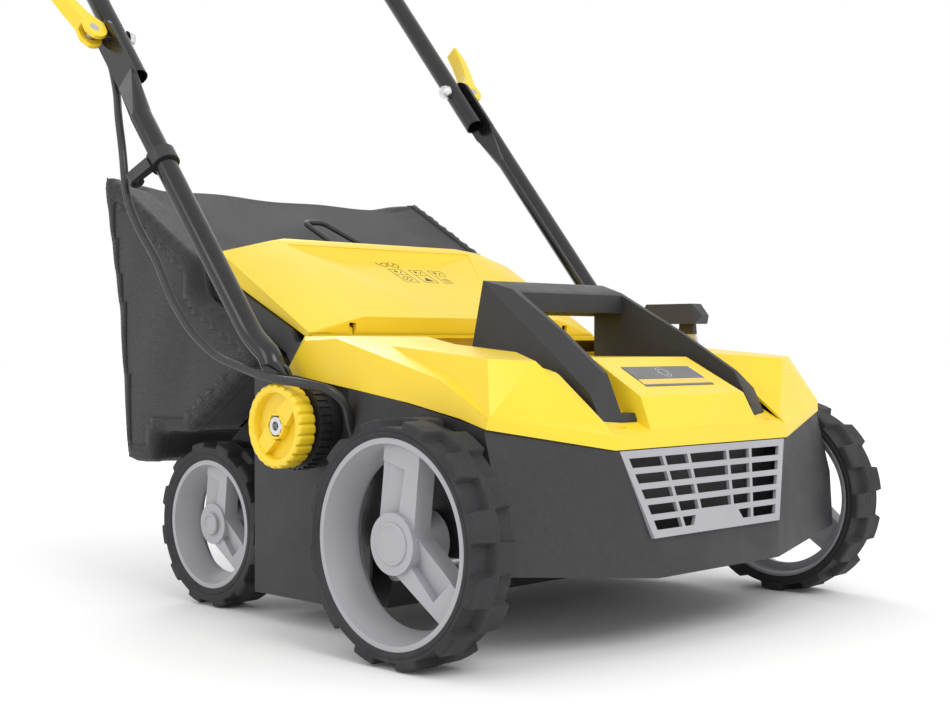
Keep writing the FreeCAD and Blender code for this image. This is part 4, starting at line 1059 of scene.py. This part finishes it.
def make_stage():
    """A pale floor, an even white surround, soft lights and the camera."""
    studio = bpy.context.scene.dethatcher_studio
    corners = [(x * FLOOR_HALF, y * FLOOR_HALF, 0) for x, y in ((-1, -1), (1, -1), (1, 1), (-1, 1))]
    floor = from_faces("floor", corners, [(0, 1, 2, 3)], "floor", smooth=False)
    world = bpy.data.worlds.new("Studio")
    bpy.context.scene.world = world
    world.use_nodes = True
    surround = world.node_tree.nodes["Background"]
    surround.inputs["Color"].default_value = (1, 1, 1, 1)
    surround.inputs["Strength"].default_value = studio.surround
    for name, place, size, power in (("Key", (-0.6, -2.6, 2.6), 1.6, studio.key),
                                     ("Left strip", (-3.0, 0.6, 1.6), 1.3, studio.side),
                                     ("Back strip", (1.6, 2.6, 2.2), 1.4, studio.back)):
        lamp = bpy.data.lights.new(name, "AREA")
        lamp.shape = "SQUARE"
        lamp.size = size
        lamp.energy = power
        holder = new_object(name, lamp)
        holder.location = place
        holder.rotation_euler = (LIGHT_AIM - Vector(place)).to_track_quat("-Z", "Y").to_euler()
    lens = bpy.data.cameras.new("Camera")
    lens.sensor_width = CAMERA["sensor"]
    lens.lens = studio.lens
    lens.clip_start, lens.clip_end = 0.05, 60
    camera = new_object("Camera", lens)
    camera.location = CAMERA["place"]
    azimuth, elevation = math.radians(CAMERA["azimuth"]), math.radians(CAMERA["elevation"])
    back = Vector((math.sin(azimuth) * math.cos(elevation), -math.cos(azimuth) * math.cos(elevation),
                   math.sin(elevation)))
    camera.rotation_euler = (-back).to_track_quat("-Z", "Y").to_euler()
    bpy.context.scene.camera = camera
    bpy.context.scene.view_settings.view_transform = "Standard"


# ---- add-on ----------------------------------------------------------------------------------------
class DETHATCHER_PG_colours(bpy.types.PropertyGroup):
    cover: bpy.props.FloatVectorProperty(
        name="Cover colour", description="Moulded cover, flap, knobs and levers", subtype="COLOR",
        default=(0.85, 0.6, 0.02), min=0, max=1)
    rims: bpy.props.FloatVectorProperty(
        name="Rim colour", description="Wheel rims, hub caps and air grille", subtype="COLOR",
        default=(0.36, 0.36, 0.385), min=0, max=1)


class DETHATCHER_PG_studio(bpy.types.PropertyGroup):
    surround: bpy.props.FloatProperty(name="Surround", description="Strength of the white surround",
                                      default=1.0, min=0)
    key: bpy.props.FloatProperty(name="Key light", description="Power of the large light above the front",
                                 default=45.0, min=0, unit="POWER")
    side: bpy.props.FloatProperty(name="Side light", description="Power of the light beside the right wheels",
                                  default=14.0, min=0, unit="POWER")
    back: bpy.props.FloatProperty(name="Back light", description="Power of the light behind the bag",
                                  default=22.0, min=0, unit="POWER")
    lens: bpy.props.FloatProperty(name="Focal length", description="Of the camera, on a 36 mm wide sensor",
                                  default=56.8, min=10, unit="CAMERA")


class DETHATCHER_OT_stage(bpy.types.Operator):
    """Builds the floor, the surround, the lights and the camera."""
    bl_idname = "dethatcher.stage"
    bl_label = "Stage"
    bl_options = {"REGISTER", "UNDO"}

    def execute(self, context):
        make_finishes()
        make_stage()
        return {"FINISHED"}


class DETHATCHER_OT_front_wheels(bpy.types.Operator):
    """Builds the two front wheels: tread, rim and hub cap."""
    bl_idname = "dethatcher.front_wheels"
    bl_label = "Front wheels"
    bl_options = {"REGISTER", "UNDO"}

    def execute(self, context):
        make_wheels("front")
        return {"FINISHED"}


class DETHATCHER_OT_rear_wheels(bpy.types.Operator):
    """Builds the two rear wheels: tread, rim and hub cap."""
    bl_idname = "dethatcher.rear_wheels"
    bl_label = "Rear wheels"
    bl_options = {"REGISTER", "UNDO"}

    def execute(self, context):
        make_wheels("rear")
        return {"FINISHED"}


class DETHATCHER_OT_shells(bpy.types.Operator):
    """Rounds the edges of the cover, flap, deck, carry handle and small mouldings."""
    bl_idname = "dethatcher.shells"
    bl_label = "Moulded shells"
    bl_options = {"REGISTER", "UNDO"}

    def execute(self, context):
        make_shells()
        return {"FINISHED"}


class DETHATCHER_OT_knobs(bpy.types.Operator):
    """Builds the fluted knobs at the handle's foot, with their nuts."""
    bl_idname = "dethatcher.knobs"
    bl_label = "Hand knobs"
    bl_options = {"REGISTER", "UNDO"}

    def execute(self, context):
        for side in SIDES:
            make_knob(side)
        return {"FINISHED"}


class DETHATCHER_OT_bag(bpy.types.Operator):
    """Hangs the cloth bag, with its edge tapes and stitches."""
    bl_idname = "dethatcher.bag"
    bl_label = "Grass bag"
    bl_options = {"REGISTER", "UNDO"}

    def execute(self, context):
        make_bag()
        return {"FINISHED"}


class DETHATCHER_OT_marks(bpy.types.Operator):
    """Adds the plain pictograms on the flap and the plate on the cover."""
    bl_idname = "dethatcher.marks"
    bl_label = "Printed marks"
    bl_options = {"REGISTER", "UNDO"}

    def execute(self, context):
        make_marks()
        make_badge()
        return {"FINISHED"}


class DETHATCHER_OT_carried_over(bpy.types.Operator):
    """Finishes the parts that keep their CAD shape."""
    bl_idname = "dethatcher.carried_over"
    bl_label = "Other parts"
    bl_options = {"REGISTER", "UNDO"}

    def execute(self, context):
        make_carried_over()
        return {"FINISHED"}


STEPS = (
    DETHATCHER_OT_stage,
    DETHATCHER_OT_front_wheels,
    DETHATCHER_OT_rear_wheels,
    DETHATCHER_OT_shells,
    DETHATCHER_OT_knobs,
    DETHATCHER_OT_bag,
    DETHATCHER_OT_marks,
    DETHATCHER_OT_carried_over,
)


class DETHATCHER_PT_panel(bpy.types.Panel):
    """Lists the makers and the values that they start from."""
    bl_label = "Dethatcher"
    bl_idname = "DETHATCHER_PT_panel"
    bl_space_type = "VIEW_3D"
    bl_region_type = "UI"
    bl_category = "Dethatcher"

    def draw(self, context):
        for group in (context.scene.dethatcher_colours, context.scene.dethatcher_studio):
            box = self.layout.box()
            for name in group.bl_rna.properties.keys():
                if name not in ("rna_type", "name"):
                    box.prop(group, name)
        for step in STEPS:
            self.layout.operator(step.bl_idname)


CLASSES = (DETHATCHER_PG_colours, DETHATCHER_PG_studio, *STEPS, DETHATCHER_PT_panel)


def register():
    for cls in CLASSES:
        bpy.utils.register_class(cls)
    bpy.types.Scene.dethatcher_colours = bpy.props.PointerProperty(type=DETHATCHER_PG_colours)
    bpy.types.Scene.dethatcher_studio = bpy.props.PointerProperty(type=DETHATCHER_PG_studio)


def unregister():
    del bpy.types.Scene.dethatcher_colours
    del bpy.types.Scene.dethatcher_studio
    for cls in reversed(CLASSES):
        bpy.utils.unregister_class(cls)


def main():
    register()
    for step in STEPS:
        name = step.bl_idname.split(".")[1]
        getattr(bpy.ops.dethatcher, name)()


if __name__ == "__main__":
    main()
